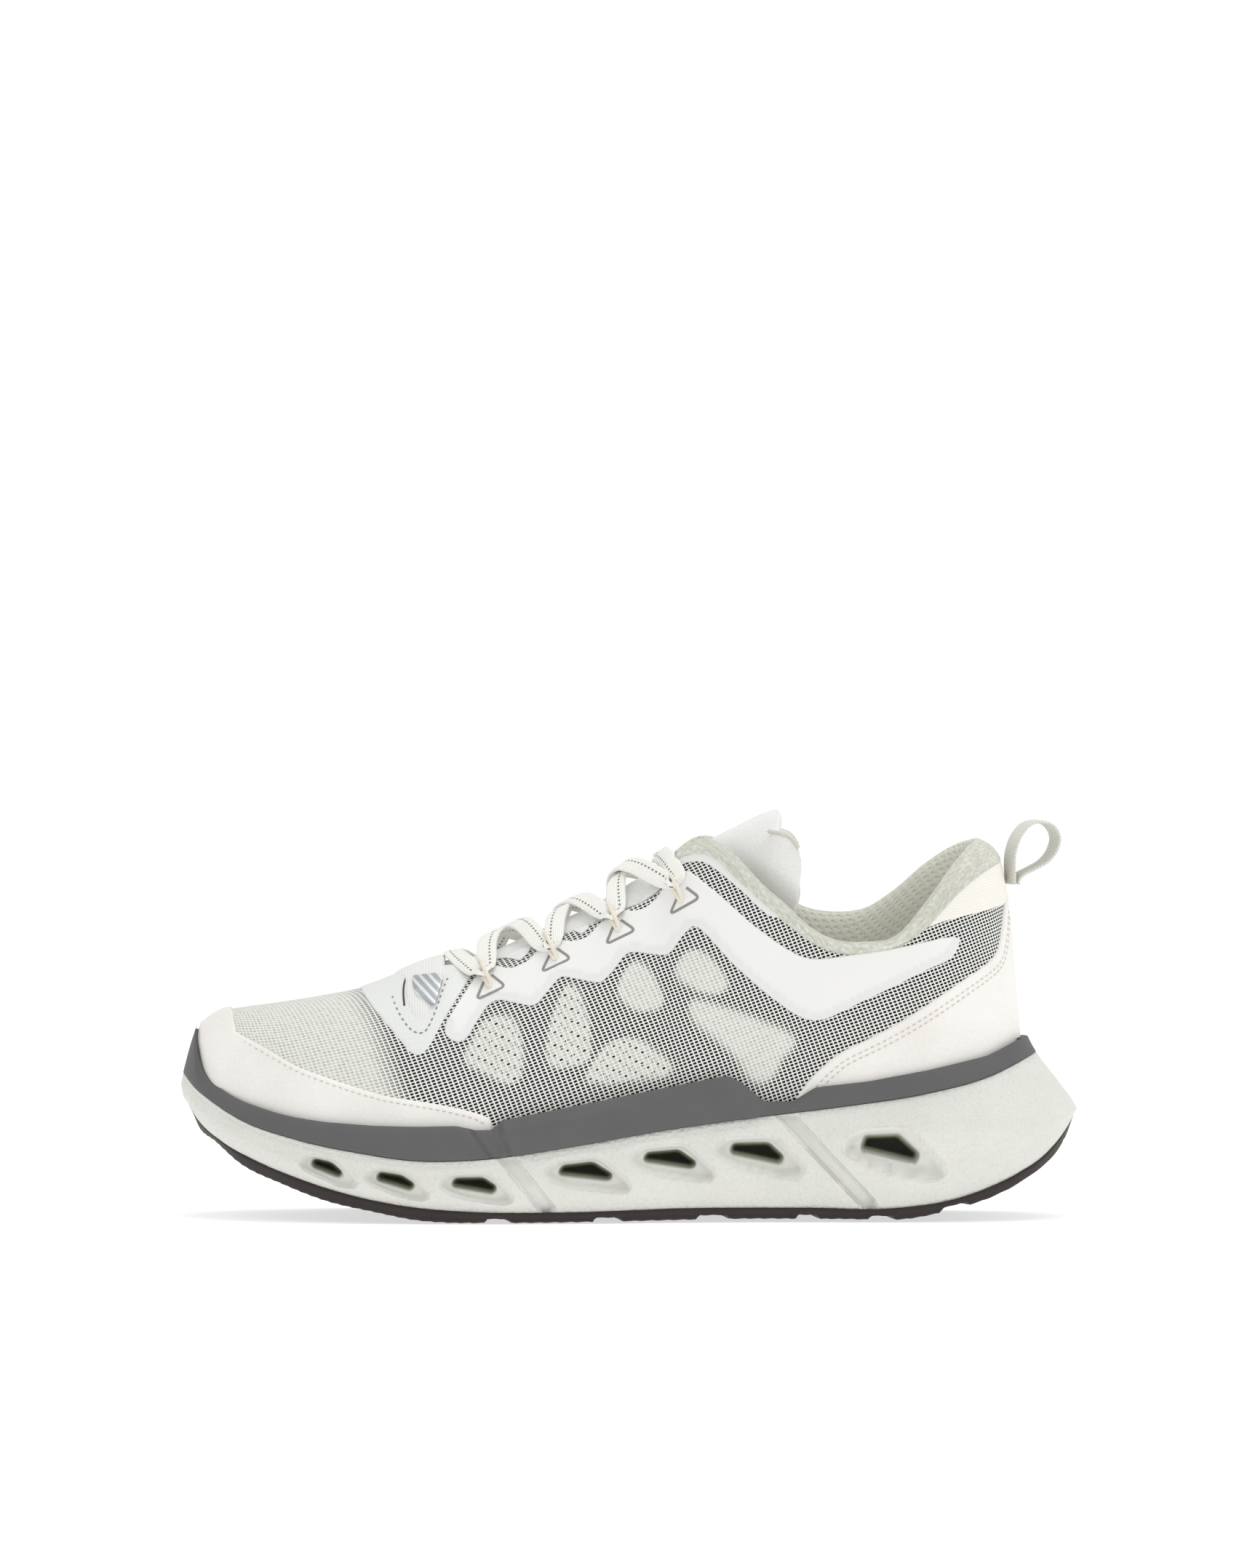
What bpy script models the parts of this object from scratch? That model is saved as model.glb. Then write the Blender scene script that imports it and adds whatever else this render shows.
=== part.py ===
"""A left running shoe: sole unit, knit upper with its overlays, tongue, lace and pull loop.

Constants are in millimetres, the scene is in metres. The toe points along -X, the outer (lateral)
side faces -Y and Z is up. The origin is on the ground, under the middle of the shoe. Depths are
measured inwards from the outer face of the knit upper, so an overlay on it has a negative depth.
"""

import math

import bmesh
import bpy
import numpy as np
from mathutils import Matrix, Vector

MM = 0.001
GAP = 0.3  # between pieces that touch
LATERAL, MEDIAL = -1, 1
SIDE_NAMES = {LATERAL: "lateral", MEDIAL: "medial"}

# ---- side view: heights along the shoe, from toe to heel ----
SOLE_FRONT, SOLE_REAR = -150.0, 150.2
OUTSOLE_BOTTOM = [(-147, 35), (-144, 29.8), (-138, 25.5), (-130, 19), (-115, 12.2), (-100, 6.8),
                  (-85, 3.6), (-70, 0.8), (-58, -0.3), (-33, -0.3), (0, 0.3), (40, 0.8), (70, 0.7),
                  (95, 1), (110, 4.3), (120, 7.3), (130, 12), (139, 18), (144, 22.8), (149, 31)]
MIDSOLE_BOTTOM = [(-147.5, 37), (-144, 32.5), (-135, 25.4), (-125, 20.3), (-110, 14.4), (-90, 8.5),
                  (-70, 5), (-50, 3.6), (-20, 3.4), (20, 4.4), (60, 4.4), (90, 4.4), (110, 7.6),
                  (120, 11), (130, 15.6), (140, 22.3), (145, 27.7), (149.5, 34)]
FLARE = [(-150, 43), (-145, 37.5), (-135, 30.5), (-120, 23.5), (-90, 14.5), (-60, 11.5), (0, 14.5),
         (50, 20), (95, 27), (120, 31), (150.2, 37)]
MIDSOLE_TOP = [(-149.3, 47.8), (-145, 43.3), (-140, 39.7), (-130, 33.8), (-110, 27.2), (-90, 23.2),
               (-70, 20.6), (-50, 21), (-20, 25.1), (10, 30.2), (40, 34.3), (70, 38), (100, 42.6),
               (120, 47.7), (136.5, 55)]
DISH = [(-144, 40.5), (-135, 33), (-120, 26.5), (-100, 21.5), (-80, 18), (-60, 17), (-20, 20.5),
        (20, 24), (60, 27.5), (100, 30), (136, 33)]
FRAME_TOP = [(-146, 63.2), (-144.3, 59.5), (-143.3, 54), (-140, 46.5), (-135, 42.8), (-120, 36.8),
             (-100, 33.2), (-70, 32), (-57, 32.4), (-49, 30.4), (-43, 34), (-20, 37.6), (0, 41.8),
             (32, 48.4), (38, 45.8), (46, 39.6), (54, 39.8), (61, 43.9), (80, 46.4), (100, 50.3),
             (120, 54.6), (132, 60.2)]
UPPER_FRONT = -142.5
RIDGE = [(-143, 64), (-140, 66.4), (-136, 68.5), (-130, 69.6), (-120, 71), (-100, 74.2), (-89, 76.5),
         (-80, 79.8), (-70, 84), (-60, 87), (-50, 88.6), (-31, 96.5), (-12, 105.5), (0, 112.5),
         (12, 121.5), (18, 131), (24, 139), (35, 147), (60, 153), (90, 150), (132, 146)]
BACKLINE = [(20, 131), (60, 130.5), (80, 128.8), (103, 126.7), (113, 125.4), (119, 123.9),
            (123, 121.6), (127, 118.4), (132, 115)]  # height, then how far back the heel reaches there
TOPLINE = {
    LATERAL: [(16, 121.6), (22, 125.9), (28, 126.4), (35, 121.8), (45, 111.5), (53, 104.6), (60, 98),
              (70, 93), (78, 92.5), (90, 95), (100, 106.3), (110, 119.6), (115, 124.6), (119, 126.9)],
    MEDIAL: [(16, 121.6), (22, 125.9), (28, 126.4), (35, 122), (45, 112.6), (56, 104), (70, 100.7),
             (80, 102), (90, 108.3), (100, 117), (110, 123.6), (119, 126.9)],
}
ROLL_EDGE = {
    LATERAL: [(16, 119.4), (24, 121.9), (30, 120), (45, 106.8), (55, 98), (63, 92.6), (70, 90.3),
              (80, 90.1), (90, 92.3), (100, 99), (110, 109.5), (120, 117), (125, 119.6)],
    MEDIAL: [(16, 119.4), (24, 121.9), (30, 120), (45, 107.4), (56, 99.5), (70, 96.4), (80, 97.4),
             (90, 101.4), (100, 107), (110, 113), (120, 118), (125, 119.6)],
}

# ---- plan view: half widths and middle line of the sole, and fullness of the upper ----
SOLE_HALF = [(-150, 54), (-120, 54.5), (-90, 55.5), (-65, 55.5), (-40, 53), (-10, 47), (20, 42),
             (50, 40), (80, 41.7), (105, 43), (150, 43)]
SOLE_MIDDLE = [(-150, 9.5), (-138, 5.5), (-120, 3), (-95, 1.5), (-65, 0), (-40, -2), (-10, -4),
               (20, -3.5), (50, -2.7), (80, -2), (105, -1.5), (150, -0.5)]
TOE_ROUNDNESS, HEEL_ROUNDNESS = 4, 7  # the higher, the blunter the end
UPPER_INSET = 7.5  # from the sole's widest line to the upper, on each side
FULLNESS = [(-143, 2.6), (-100, 2.4), (-60, 2.1), (0, 2), (40, 2.5), (140, 2.5)]
THROAT_HALF = [(-79, 0), (-74, 9), (-65, 12.5), (-20, 15), (15, 17.5)]
THROAT_START = -79

# ---- thicknesses and depths ----
KNIT, FILM, CAGE_SKIN, LEATHER = 1.3, 0.6, 0.8, 0.9
OVERLAY_DEPTH = -1.5  # outer face of every overlay, 0.6 mm and more over the knit
BOARD, INSOLE = 1.2, 4.0
STATIONS = 30  # along the shoe
LACE_RADIUS, LOOP_RADIUS = 1.0, 0.55

# ---- outlines and places of the pieces ----
TREAD_GAPS = [(-49, 8), (-12, 9), (23.7, 10), (55.5, 7), (80, 8), (104.5, 9)]  # middle, width
TREAD_DEPTH = 1.5
# Windows in the midsole's sides: front, rear, bottom and top of each
WINDOWS = [(-105, -95.5, 14.6, 20.5), (-83, -71.5, 10.8, 16.2), (-58, -44, 9.8, 14.8),
           (-22.5, -5.5, 14.4, 19.4), (5.5, 22.3, 18, 23.4), (34.5, 51.3, 19.4, 25.8),
           (78.5, 96.2, 20.4, 28.5)]
WINDOW_DEPTH = 4.0
TOE_CAP_FRONT = -133.5  # ahead of this the cap closes over the toe
TOE_CAP_TOP = [(-131, 62.8), (-125, 59.5), (-110, 51.5), (-90, 44.7), (-70, 40.5),
               (-52, 37), (-45, 33.6)]
HEEL_CAP_TOP = [(56, 40.8), (62, 49), (70, 56), (80, 60.7), (90, 66), (100, 72.2), (110, 79),
                (120, 85.3), (125, 92), (127, 101), (129.5, 104.4)]
HEEL_PANEL_LOW = [(100, 98), (110, 101.2), (120, 103.5), (129.5, 105.4)]
COUNTER_TOP = [(78, 57), (90, 65), (105, 75), (120, 83), (130, 86)]
# Side-view outline of the overlay under the lace, and of its scalloped edge
CAGE = [(-61, 63), (-57, 59.6), (-53.5, 61), (-50, 67), (-46.5, 72.4), (-43.5, 73.8), (-31, 71.5),
        (-27, 76), (-22.5, 81), (-9, 79), (-5, 83), (-1, 88.5), (2, 89.4), (13, 88.4), (18, 94.5),
        (22, 98), (26, 95.5), (35, 85.5), (45, 76.5), (55, 69), (61, 66.8), (70, 69), (80, 74),
        (100, 83.8), (107, 86.5), (110.8, 93), (105, 94.2), (95, 91.2), (85, 88.6), (75, 87.8),
        (65, 87.5), (55, 90.5), (45, 98), (35, 106.5), (27, 114), (21, 116), (16, 113.5)]
SCALLOP = [(10, 107.5), (4, 103), (-2, 103), (-9.5, 98.5), (-13, 94.5), (-18, 93), (-24, 93.6),
           (-28, 91.2), (-33, 86.5), (-37, 84.3), (-44.5, 84.6), (-50, 81.8), (-53, 78), (-57, 71.5)]
UNDERLAYS = {
    "front": [(-47, 68), (-38, 68), (-35, 52), (-36, 47), (-41, 47), (-55, 54)],
    "middle": [(-27, 52), (-13, 54), (-13, 77), (-22, 79), (-27, 70)],
    "rear": [(20, 74), (35, 70), (52, 61), (51, 54), (46, 49), (41, 50), (30, 60), (22, 67)],
}
THROAT_FILM = [(-88.5, 76), (-85, 70.5), (-80, 65), (-75, 59.3), (-71.5, 56), (-68, 56.5), (-63, 64),
               (-60, 69), (-55.5, 76.5), (-53, 80.5)]  # side view, from the front round the tip
COLLAR_FRONT, FOAM_FRONT = 16, 28  # where the collar and its padding start
TONGUE_END = 12
FLAP_SPINE = [(13.6, 119.2), (20, 123), (30, 127.2), (40, 132.2), (48, 136.3)]  # up the middle
FLAP_HALF = [(0, 12), (0.3, 13.5), (0.55, 19), (0.8, 22), (1, 17)]
FLAP_WRAP = [(0, 2), (0.4, 9), (0.7, 11), (1, 7)]  # how far the edges reach back
FLAP_DROP = [(0, 4.5), (0.4, 8), (0.7, 11), (1, 7)]  # and down
TONGUE_THICK = 3.2
FLAP_HINGE = (12.6, -3.6, 117)
LOOP_HINGE = (128.7, -0.9, 110.8)
ANCHORS = [(-48.5, 81.5), (-26, 90), (-5, 100), (15, 111)]  # lace loops, side view, toe end first
LACE_DEPTH = -2.9  # middle of the lace where it lies on the overlays
TURN = 2.2  # radius of the lace round a loop
# The last stretch of the lace, from the top loop: along and up
LACE_END = [(3.2, 4.6), (5.6, 5.6), (8.2, 4.2), (10.4, 0.8), (12.4, -3.6), (14.2, -8.4)]
LOOP_WIDTH = 11
# Side view of the pull loop: its outer and its inner line
LOOP_OUTER = [(128, 110.6), (127.6, 114), (127.4, 118), (127.8, 122.3), (129.3, 127), (132, 130.8),
              (134.5, 132.4), (137.5, 132.8), (140.4, 132), (142.8, 130), (144, 127), (143.9, 124.3),
              (142.5, 121), (139.5, 117.8), (135, 115.4), (131.2, 113.6), (129.4, 110.8)]
LOOP_INNER = [(129, 114), (128.6, 118), (129, 122), (130.5, 126.4), (133, 129.9), (135.2, 131.1),
              (137.5, 131.4), (139.8, 130.8), (141.6, 129.2), (142.6, 126.8), (142.4, 124.7),
              (141.2, 121.8), (138.6, 119), (134.3, 116.7), (130.6, 115)]
KEEPER = [(-73, -6), (-71.5, -8), (-64, -8), (-62.5, -6), (-62.5, 6), (-64, 8), (-71.5, 8),
          (-73, 6)]  # from above


def smooth(points):
    """A curve through the points, as a function of the first coordinate."""
    x, y = np.array(points, float).T
    step, rise = np.diff(x), np.diff(y) / np.diff(x)
    inner = (rise[:-1] * step[1:] + rise[1:] * step[:-1]) / (step[1:] + step[:-1])
    slope = np.concatenate(([rise[0]], inner, [rise[-1]]))

    def at(where):
        where = min(max(where, x[0]), x[-1])
        i = min(max(int(np.searchsorted(x, where)) - 1, 0), len(step) - 1)
        t = (where - x[i]) / step[i]
        start, end = slope[i] * step[i], slope[i + 1] * step[i]
        bend = 3 * (y[i + 1] - y[i]) - 2 * start - end
        return float(y[i] + t * (start + t * (bend + t * (start + end - 2 * (y[i + 1] - y[i])))))

    return at


outsole_bottom, midsole_bottom = smooth(OUTSOLE_BOTTOM), smooth(MIDSOLE_BOTTOM)
flare, midsole_top, dish = smooth(FLARE), smooth(MIDSOLE_TOP), smooth(DISH)
frame_top, ridge, backline = smooth(FRAME_TOP), smooth(RIDGE), smooth(BACKLINE)
topline = {side: smooth(points) for side, points in TOPLINE.items()}
roll_edge = {side: smooth(points) for side, points in ROLL_EDGE.items()}
sole_half, sole_middle = smooth(SOLE_HALF), smooth(SOLE_MIDDLE)
fullness, throat_half = smooth(FULLNESS), smooth(THROAT_HALF)


# ---- the form of the shoe ----
def closing(x, front, rear):
    """How far the plan outline has closed towards its tips: 1 amidships, 0 at either tip."""
    reach, power = (x / front, TOE_ROUNDNESS) if x < 0 else (x / rear, HEEL_ROUNDNESS)
    return math.sqrt(max(0.0, 1 - min(1.0, abs(reach)) ** power))


def base(x):
    """Height of the bottom edge of the upper, on the floor of the midsole's dish."""
    return dish(x) + GAP


def upper_side(x, z, depth):
    """Half width of the upper at its base, before the arch closes over it."""
    rear = backline(z) - depth
    return (sole_half(x) - UPPER_INSET - depth) * closing(x, UPPER_FRONT + depth, rear)


def upper_half(x, z, depth=0.0):
    """Half width of the upper at height z."""
    level = (z - base(x)) / (ridge(x) - depth - base(x))
    level = min(max(level, 0.0), 1.0)
    power = fullness(x)
    return upper_side(x, z, depth) * (1 - level**power) ** (1 / power)


def upper_height(x, half, depth=0.0):
    """Height at which the upper is this half width."""
    power, tall = fullness(x), ridge(x) - depth - base(x)
    share = min(1.0, abs(half) / max(upper_side(x, base(x), depth), 1e-6))
    return base(x) + tall * (1 - share**power) ** (1 / power)


def on_side(side, depth):
    """Carries a side-view point onto one side of the upper."""

    def place(x, z):
        return x, sole_middle(x) + side * upper_half(x, z, depth), z

    return place


def on_top(depth):
    """Carries a plan point, measured from the middle line, onto the top of the upper."""

    def place(x, y):
        return x, sole_middle(x) + y, upper_height(x, y, depth)

    return place


# ---- meshes ----
def new_object(name, mesh, made_of):
    obj = bpy.data.objects.new(name, mesh)
    obj.data.materials.append(made_of)
    shoe.objects.link(obj)
    return obj


def mesh_of(name, cells):
    """A mesh from faces given as lists of corners in millimetres."""
    corners = [tuple(c * MM for c in corner) for face in cells for corner in face]
    faces, start = [], 0
    for face in cells:
        faces.append(range(start, start + len(face)))
        start += len(face)
    mesh = bpy.data.meshes.new(name)
    mesh.from_pydata(corners, [], [list(face) for face in faces])
    shape = bmesh.new()
    shape.from_mesh(mesh)
    bmesh.ops.remove_doubles(shape, verts=shape.verts, dist=0.00002)
    bmesh.ops.dissolve_degenerate(shape, edges=shape.edges, dist=0.00001)
    bmesh.ops.recalc_face_normals(shape, faces=shape.faces)
    shape.to_mesh(mesh)
    shape.free()
    return mesh


def strips(rows):
    """The quads between neighbouring rows of points."""
    return [[a[i], a[i + 1], b[i + 1], b[i]]
            for a, b in zip(rows, rows[1:]) for i in range(len(a) - 1)]


def thicken(obj, thickness, outwards):
    """Makes a closed sheet of an open surface. outwards is a direction its first face should face."""
    mesh = obj.data
    if mesh.polygons[0].normal.dot(Vector(outwards)) < 0:
        mesh.flip_normals()
    solidify = obj.modifiers.new("Sheet", "SOLIDIFY")
    solidify.thickness = thickness * MM
    solidify.offset = -1
    solidify.use_even_offset = False
    return obj


def material(name, colour, roughness, metallic=0.0):
    made = bpy.data.materials.new(name)
    made.use_nodes = True
    shader = made.node_tree.nodes["Principled BSDF"]
    shader.inputs["Base Color"].default_value = (*colour, 1)
    shader.inputs["Roughness"].default_value = roughness
    shader.inputs["Metallic"].default_value = metallic
    made.diffuse_color = (*colour, 1)
    return made


# ---- sole unit ----
def stations(front, rear, count=STATIONS):
    """Places along the shoe from tip to tip, closer together at the round ends."""
    return [front + (rear - front) * (1 - math.cos(math.pi * i / count)) / 2
            for i in range(count + 1)]


def sole_ring(front, rear, inset, height):
    """One level of the sole: a lateral and a medial row of points from toe to heel."""
    rows = {}
    for side in (LATERAL, MEDIAL):
        rows[side] = [(x, sole_middle(x) + side * (sole_half(x) - inset) * closing(x, front, rear),
                       height(x)) for x in stations(front, rear)]
    return rows


def upper_ring(depth, height):
    """A ring that follows the upper at some depth."""
    shares = shares_between(STATIONS, (None, None))
    rows = {}
    for side in (LATERAL, MEDIAL):
        columns = side_rows(side, (None, None), shares, height, height, depth, 1)
        rows[side] = [column[0] for column in columns]
    return rows


def walls(rings):
    """The faces between neighbouring rings, all the way round."""
    return [face for side in (LATERAL, MEDIAL) for face in strips([ring[side] for ring in rings])]


def lid(ring):
    """The faces that close a ring from side to side."""
    return strips([ring[LATERAL], ring[MEDIAL]])


def shifted(height, up):
    return lambda x: height(x) + up


def outsole():
    top = sole_ring(-147.4, 149.4, 4.2, shifted(midsole_bottom, -GAP))
    side = sole_ring(-147.6, 149.6, 3.2, shifted(midsole_bottom, -GAP - 0.4))
    bottom = sole_ring(-144.5, 147.6, 5.4, lambda x: max(0.0, outsole_bottom(x)))
    cells = lid(bottom) + walls([bottom, side, top]) + lid(top)
    rubber = material("outsole_rubber", (0.025, 0.02, 0.02), 0.75)
    obj = new_object("outsole", mesh_of("outsole", cells), rubber)
    for x, width in TREAD_GAPS:
        front, rear, depth = x - width / 2, x + width / 2, outsole_bottom(x) + TREAD_DEPTH
        outline = [(front, -5), (rear, -5), (rear, depth), (front, depth)]
        cut(obj, flat_block("tread_gap", outline, 0, 80))


def window_outline(front, rear, low, high):
    """A window leans: its top edge slopes down to the rear, its front is low and its rear is cut."""
    cant = 0.4 * (high - low)
    return [(front, low + cant * 0.7), (front + 1, high - cant * 0.6), (rear - 5, high),
            (rear, low + cant * 1.2), (rear - 1.2, low)]


def midsole():
    rings = [sole_ring(-147.4, 149.4, 4.2, midsole_bottom),
             sole_ring(-149, 150, 1.8, lambda x: 0.6 * midsole_bottom(x) + 0.4 * flare(x)),
             sole_ring(SOLE_FRONT, SOLE_REAR, 0, flare),
             sole_ring(-149.8, 144, 1.0, lambda x: 0.5 * midsole_top(x) + 0.5 * flare(x)),
             sole_ring(-149.3, 136.6, 2.2, midsole_top),
             upper_ring(-1.8, midsole_top),
             upper_ring(-1.8, dish)]
    cells = lid(rings[0]) + walls(rings) + lid(rings[-1])
    foam = material("midsole_foam", (0.75, 0.76, 0.71), 0.8)
    obj = new_object("midsole", mesh_of("midsole", cells), foam)
    for number, window in enumerate(WINDOWS):
        middle = (window[0] + window[1]) / 2
        reach = sole_half(middle) * closing(middle, SOLE_FRONT, SOLE_REAR)
        for side in (LATERAL, MEDIAL):
            wall = sole_middle(middle) + side * (reach - WINDOW_DEPTH + 10)
            cut(obj, flat_block(f"window_{number}", window_outline(*window), wall, 10))


def midsole_frame():
    top = shifted(frame_top, 0)
    rings = [upper_ring(-1.9, shifted(midsole_top, 0.6)),
             sole_ring(-149.3, 136.6, 2.2, shifted(midsole_top, 0.6)),
             sole_ring(-148.6, 135.4, 3.0, lambda x: 0.4 * midsole_top(x) + 0.6 * frame_top(x)),
             sole_ring(-145.9, 134, 4.0, top),
             upper_ring(-1.9, top)]
    rings.append(rings[0])
    new_object("midsole_frame", mesh_of("midsole_frame", walls(rings)),
               material("frame_grey", (0.14, 0.14, 0.145), 0.7))


def footbed(name, low, high, depth, made_of):
    """A flat layer that fills the inside of the upper between two heights over its base."""
    rings = [upper_ring(depth, shifted(base, low)), upper_ring(depth, shifted(base, high))]
    new_object(name, mesh_of(name, lid(rings[0]) + walls(rings) + lid(rings[1])), made_of)


def flat_block(name, outline, y, half):
    """A cutter: a side-view outline, pulled out along Y."""
    curve = bpy.data.curves.new(name, "CURVE")
    curve.dimensions, curve.fill_mode, curve.extrude = "2D", "BOTH", half * MM
    spline = curve.splines.new("POLY")
    spline.points.add(len(outline) - 1)
    for point, (x, z) in zip(spline.points, outline):
        point.co = (x * MM, z * MM, 0, 1)
    spline.use_cyclic_u = True
    obj = bpy.data.objects.new(name, curve)
    shoe.objects.link(obj)
    obj.rotation_euler = (math.radians(90), 0, 0)
    obj.location = (0, y * MM, 0)
    return obj


def as_mesh(obj):
    """Turns a curve object into a mesh object of the same name."""
    bpy.context.view_layer.update()
    graph = bpy.context.evaluated_depsgraph_get()
    mesh = bpy.data.meshes.new_from_object(obj.evaluated_get(graph))
    name, where = obj.name, obj.matrix_world.copy()
    bpy.data.objects.remove(obj)
    solid = bpy.data.objects.new(name, mesh)
    solid.matrix_world = where
    shoe.objects.link(solid)
    shape = bmesh.new()
    shape.from_mesh(mesh)
    bmesh.ops.remove_doubles(shape, verts=shape.verts, dist=0.00001)
    bmesh.ops.recalc_face_normals(shape, faces=shape.faces)
    shape.to_mesh(mesh)
    shape.free()
    return solid


def cut(obj, cutter):
    cutter = as_mesh(cutter)
    shoe.objects.unlink(cutter)
    cutters.objects.link(cutter)
    cutter.hide_render, cutter.display_type = True, "WIRE"
    boolean = obj.modifiers.new("Cut", "BOOLEAN")
    boolean.operation, boolean.solver, boolean.object = "DIFFERENCE", "EXACT", cutter


# ---- upper shells ----
def throat_or_collar(side):
    """Top edge of the knit: up to the throat in front, up to the collar behind."""

    def height(x):
        if x <= THROAT_START:
            return ridge(x)
        return min(upper_height(x, throat_half(x)), roll_edge[side](x) - 1 if x > 15 else 999)

    return height


def side_rows(side, reach, shares, low, high, depth, levels):
    """Rows of points on one side of the upper, from its low edge to its high edge.

    reach gives the front and rear end of the piece at a height; an end of None is the tip of the
    toe or of the heel, where both sides meet.
    """
    rows = []
    for share in shares:
        row = []
        for j in range(levels + 1):
            x, z = reach[0] or 0, low(0)
            for _ in range(5):
                front = UPPER_FRONT + depth if reach[0] is None else reach[0]
                rear = backline(z) - depth if reach[1] is None else reach[1]
                x = front + (rear - front) * share
                z = low(x) + (high(x) - low(x)) * math.sin(math.pi / 2 * j / levels)
            tip = (share == 0 and reach[0] is None) or (share == 1 and reach[1] is None)
            row.append((x, sole_middle(x) + side * (0 if tip else upper_half(x, z, depth)), z))
        rows.append(row)
    return rows


def shares_between(count, reach):
    """Shares of the way from front to rear, closer together at an end that is a round tip."""
    if reach[0] is None and reach[1] is None:
        return [(1 - math.cos(math.pi * i / count)) / 2 for i in range(count + 1)]
    if reach[0] is None:
        return [1 - math.cos(math.pi / 2 * i / count) for i in range(count + 1)]
    return [math.sin(math.pi / 2 * i / count) for i in range(count)] + [1]


def wrap(name, reach, low, high, depth, thickness, made_of, levels=4, count=12, shares=None):
    """A sheet on the upper that runs round the toe, round the heel or round both."""
    cells = []
    shares = shares or shares_between(count, reach)
    for side in (LATERAL, MEDIAL):
        cells += strips(side_rows(side, reach, shares, low, high[side], depth, levels))
    obj = new_object(name, mesh_of(name, cells), made_of)
    face_out(obj)
    return thicken(obj, thickness, obj.data.polygons[0].normal)


def both(height):
    return {LATERAL: height, MEDIAL: height}


def face_out(obj):
    """Turns an open surface so that most of it faces away from the middle of the shoe."""
    out = 0.0
    for face in obj.data.polygons:
        away = face.center - Vector((face.center.x * 0.9, 0, 0.03))
        out += face.area * face.normal.dot(away)
    if out < 0:
        obj.data.flip_normals()


def mesh_upper():
    tops = {side: throat_or_collar(side) for side in (LATERAL, MEDIAL)}
    wrap("mesh_upper", (None, None), shifted(base, 0.1), tops, 0, KNIT, KNIT_WHITE, 8, 44)


def toe_cap_top(depth):
    """Closed over the toe; then the front edge swings out and runs back along both sides."""
    edge = smooth(TOE_CAP_TOP)
    front, (corner, _), half = TOE_CAP_FRONT, TOE_CAP_TOP[0], 20

    def height(x):
        if x <= front:
            return ridge(x) - depth
        if x < corner:
            return upper_height(x, half * math.sqrt((x - front) / (corner - front)), depth)
        return edge(x)

    return both(height)


def toe_cap():
    front = UPPER_FRONT + OVERLAY_DEPTH
    corner, rear = TOE_CAP_TOP[0][0], TOE_CAP_TOP[-1][0]
    places = [front + (TOE_CAP_FRONT - front) * (i / 8) ** 2 for i in range(9)]
    places += [TOE_CAP_FRONT + (corner - TOE_CAP_FRONT) * (i / 6) ** 2 for i in range(1, 6)]
    places += [corner + (rear - corner) * (i / 14) ** 1.5 for i in range(15)]
    shares = [(x - front) / (rear - front) for x in places]
    wrap("toe_cap", (None, rear), shifted(frame_top, -2), toe_cap_top(OVERLAY_DEPTH), OVERLAY_DEPTH,
         LEATHER, LEATHER_WHITE, 5, shares=shares)


def toe_parts():
    toe_cap()
    over = 1.9
    wrap("vamp_lining", (None, THROAT_START - 1), shifted(base, 3), both(shifted(ridge, -over)), over,
         0.6, material("lining_white", (0.8, 0.8, 0.78), 0.9), 6, 14)
    inside = 3.1
    wrap("toe_puff", (None, -117), shifted(base, 3.4), both(shifted(ridge, -inside)), inside,
         0.8, material("stiffener", (0.7, 0.66, 0.58), 0.7), 5, 10)


def heel_parts():
    wrap("heel_overlay", (57, None), shifted(frame_top, -2), both(smooth(HEEL_CAP_TOP)),
         OVERLAY_DEPTH, LEATHER, LEATHER_WHITE, 4, 16)
    edge = {side: shifted(roll_edge[side], -0.5) for side in (LATERAL, MEDIAL)}
    wrap("heel_panel", (101, None), smooth(HEEL_PANEL_LOW), edge, OVERLAY_DEPTH, LEATHER,
         material("twill_white", (0.8, 0.79, 0.76), 0.85), 3, 10)
    wrap("heel_counter", (78, None), shifted(base, 2.6), both(smooth(COUNTER_TOP)), 1.9, 1.0,
         material("counter", (0.75, 0.73, 0.68), 0.5), 4, 12)


def underlays():
    patch = material("underlay_white", (0.82, 0.82, 0.8), 0.8)
    for side in (LATERAL, MEDIAL):
        for name, outline in UNDERLAYS.items():
            drape(f"underlay_{name}_{SIDE_NAMES[side]}", outline, on_side(side, 2.0), 0.5,
                  (0, side, 0.3), patch)


# ---- films and patches: outlines laid on the form ----
def drape(name, outline, place, thickness, outwards, made_of, cell=9.0):
    """A flat outline, cut into cells, carried onto the form and given its thickness."""
    shape = bmesh.new()
    shape.faces.new([shape.verts.new((x, 0, z)) for x, z in outline])
    for axis in (0, 2):
        values = [vert.co[axis] for vert in shape.verts]
        first = math.floor(min(values) / cell) + 1
        normal = (1, 0, 0) if axis == 0 else (0, 0, 1)
        for step in range(first, math.ceil(max(values) / cell)):
            where = tuple(step * cell * part for part in normal)
            bmesh.ops.bisect_plane(shape, geom=shape.verts[:] + shape.edges[:] + shape.faces[:],
                                   plane_co=where, plane_no=normal)
    bmesh.ops.remove_doubles(shape, verts=shape.verts, dist=0.3)
    bmesh.ops.triangulate(shape, faces=shape.faces)
    for vert in shape.verts:
        vert.co = Vector(place(vert.co.x, vert.co.z)) * MM
    bmesh.ops.recalc_face_normals(shape, faces=shape.faces)
    mesh = bpy.data.meshes.new(name)
    shape.to_mesh(mesh)
    shape.free()
    return thicken(new_object(name, mesh, made_of), thickness, outwards)


def cages():
    for side in (LATERAL, MEDIAL):
        name = SIDE_NAMES[side]
        drape(f"cage_{name}", CAGE + SCALLOP, on_side(side, OVERLAY_DEPTH), CAGE_SKIN, (0, side, 0.3),
              material(f"cage_{name}_white", (0.88, 0.88, 0.88), 0.5), 6.0)


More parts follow.
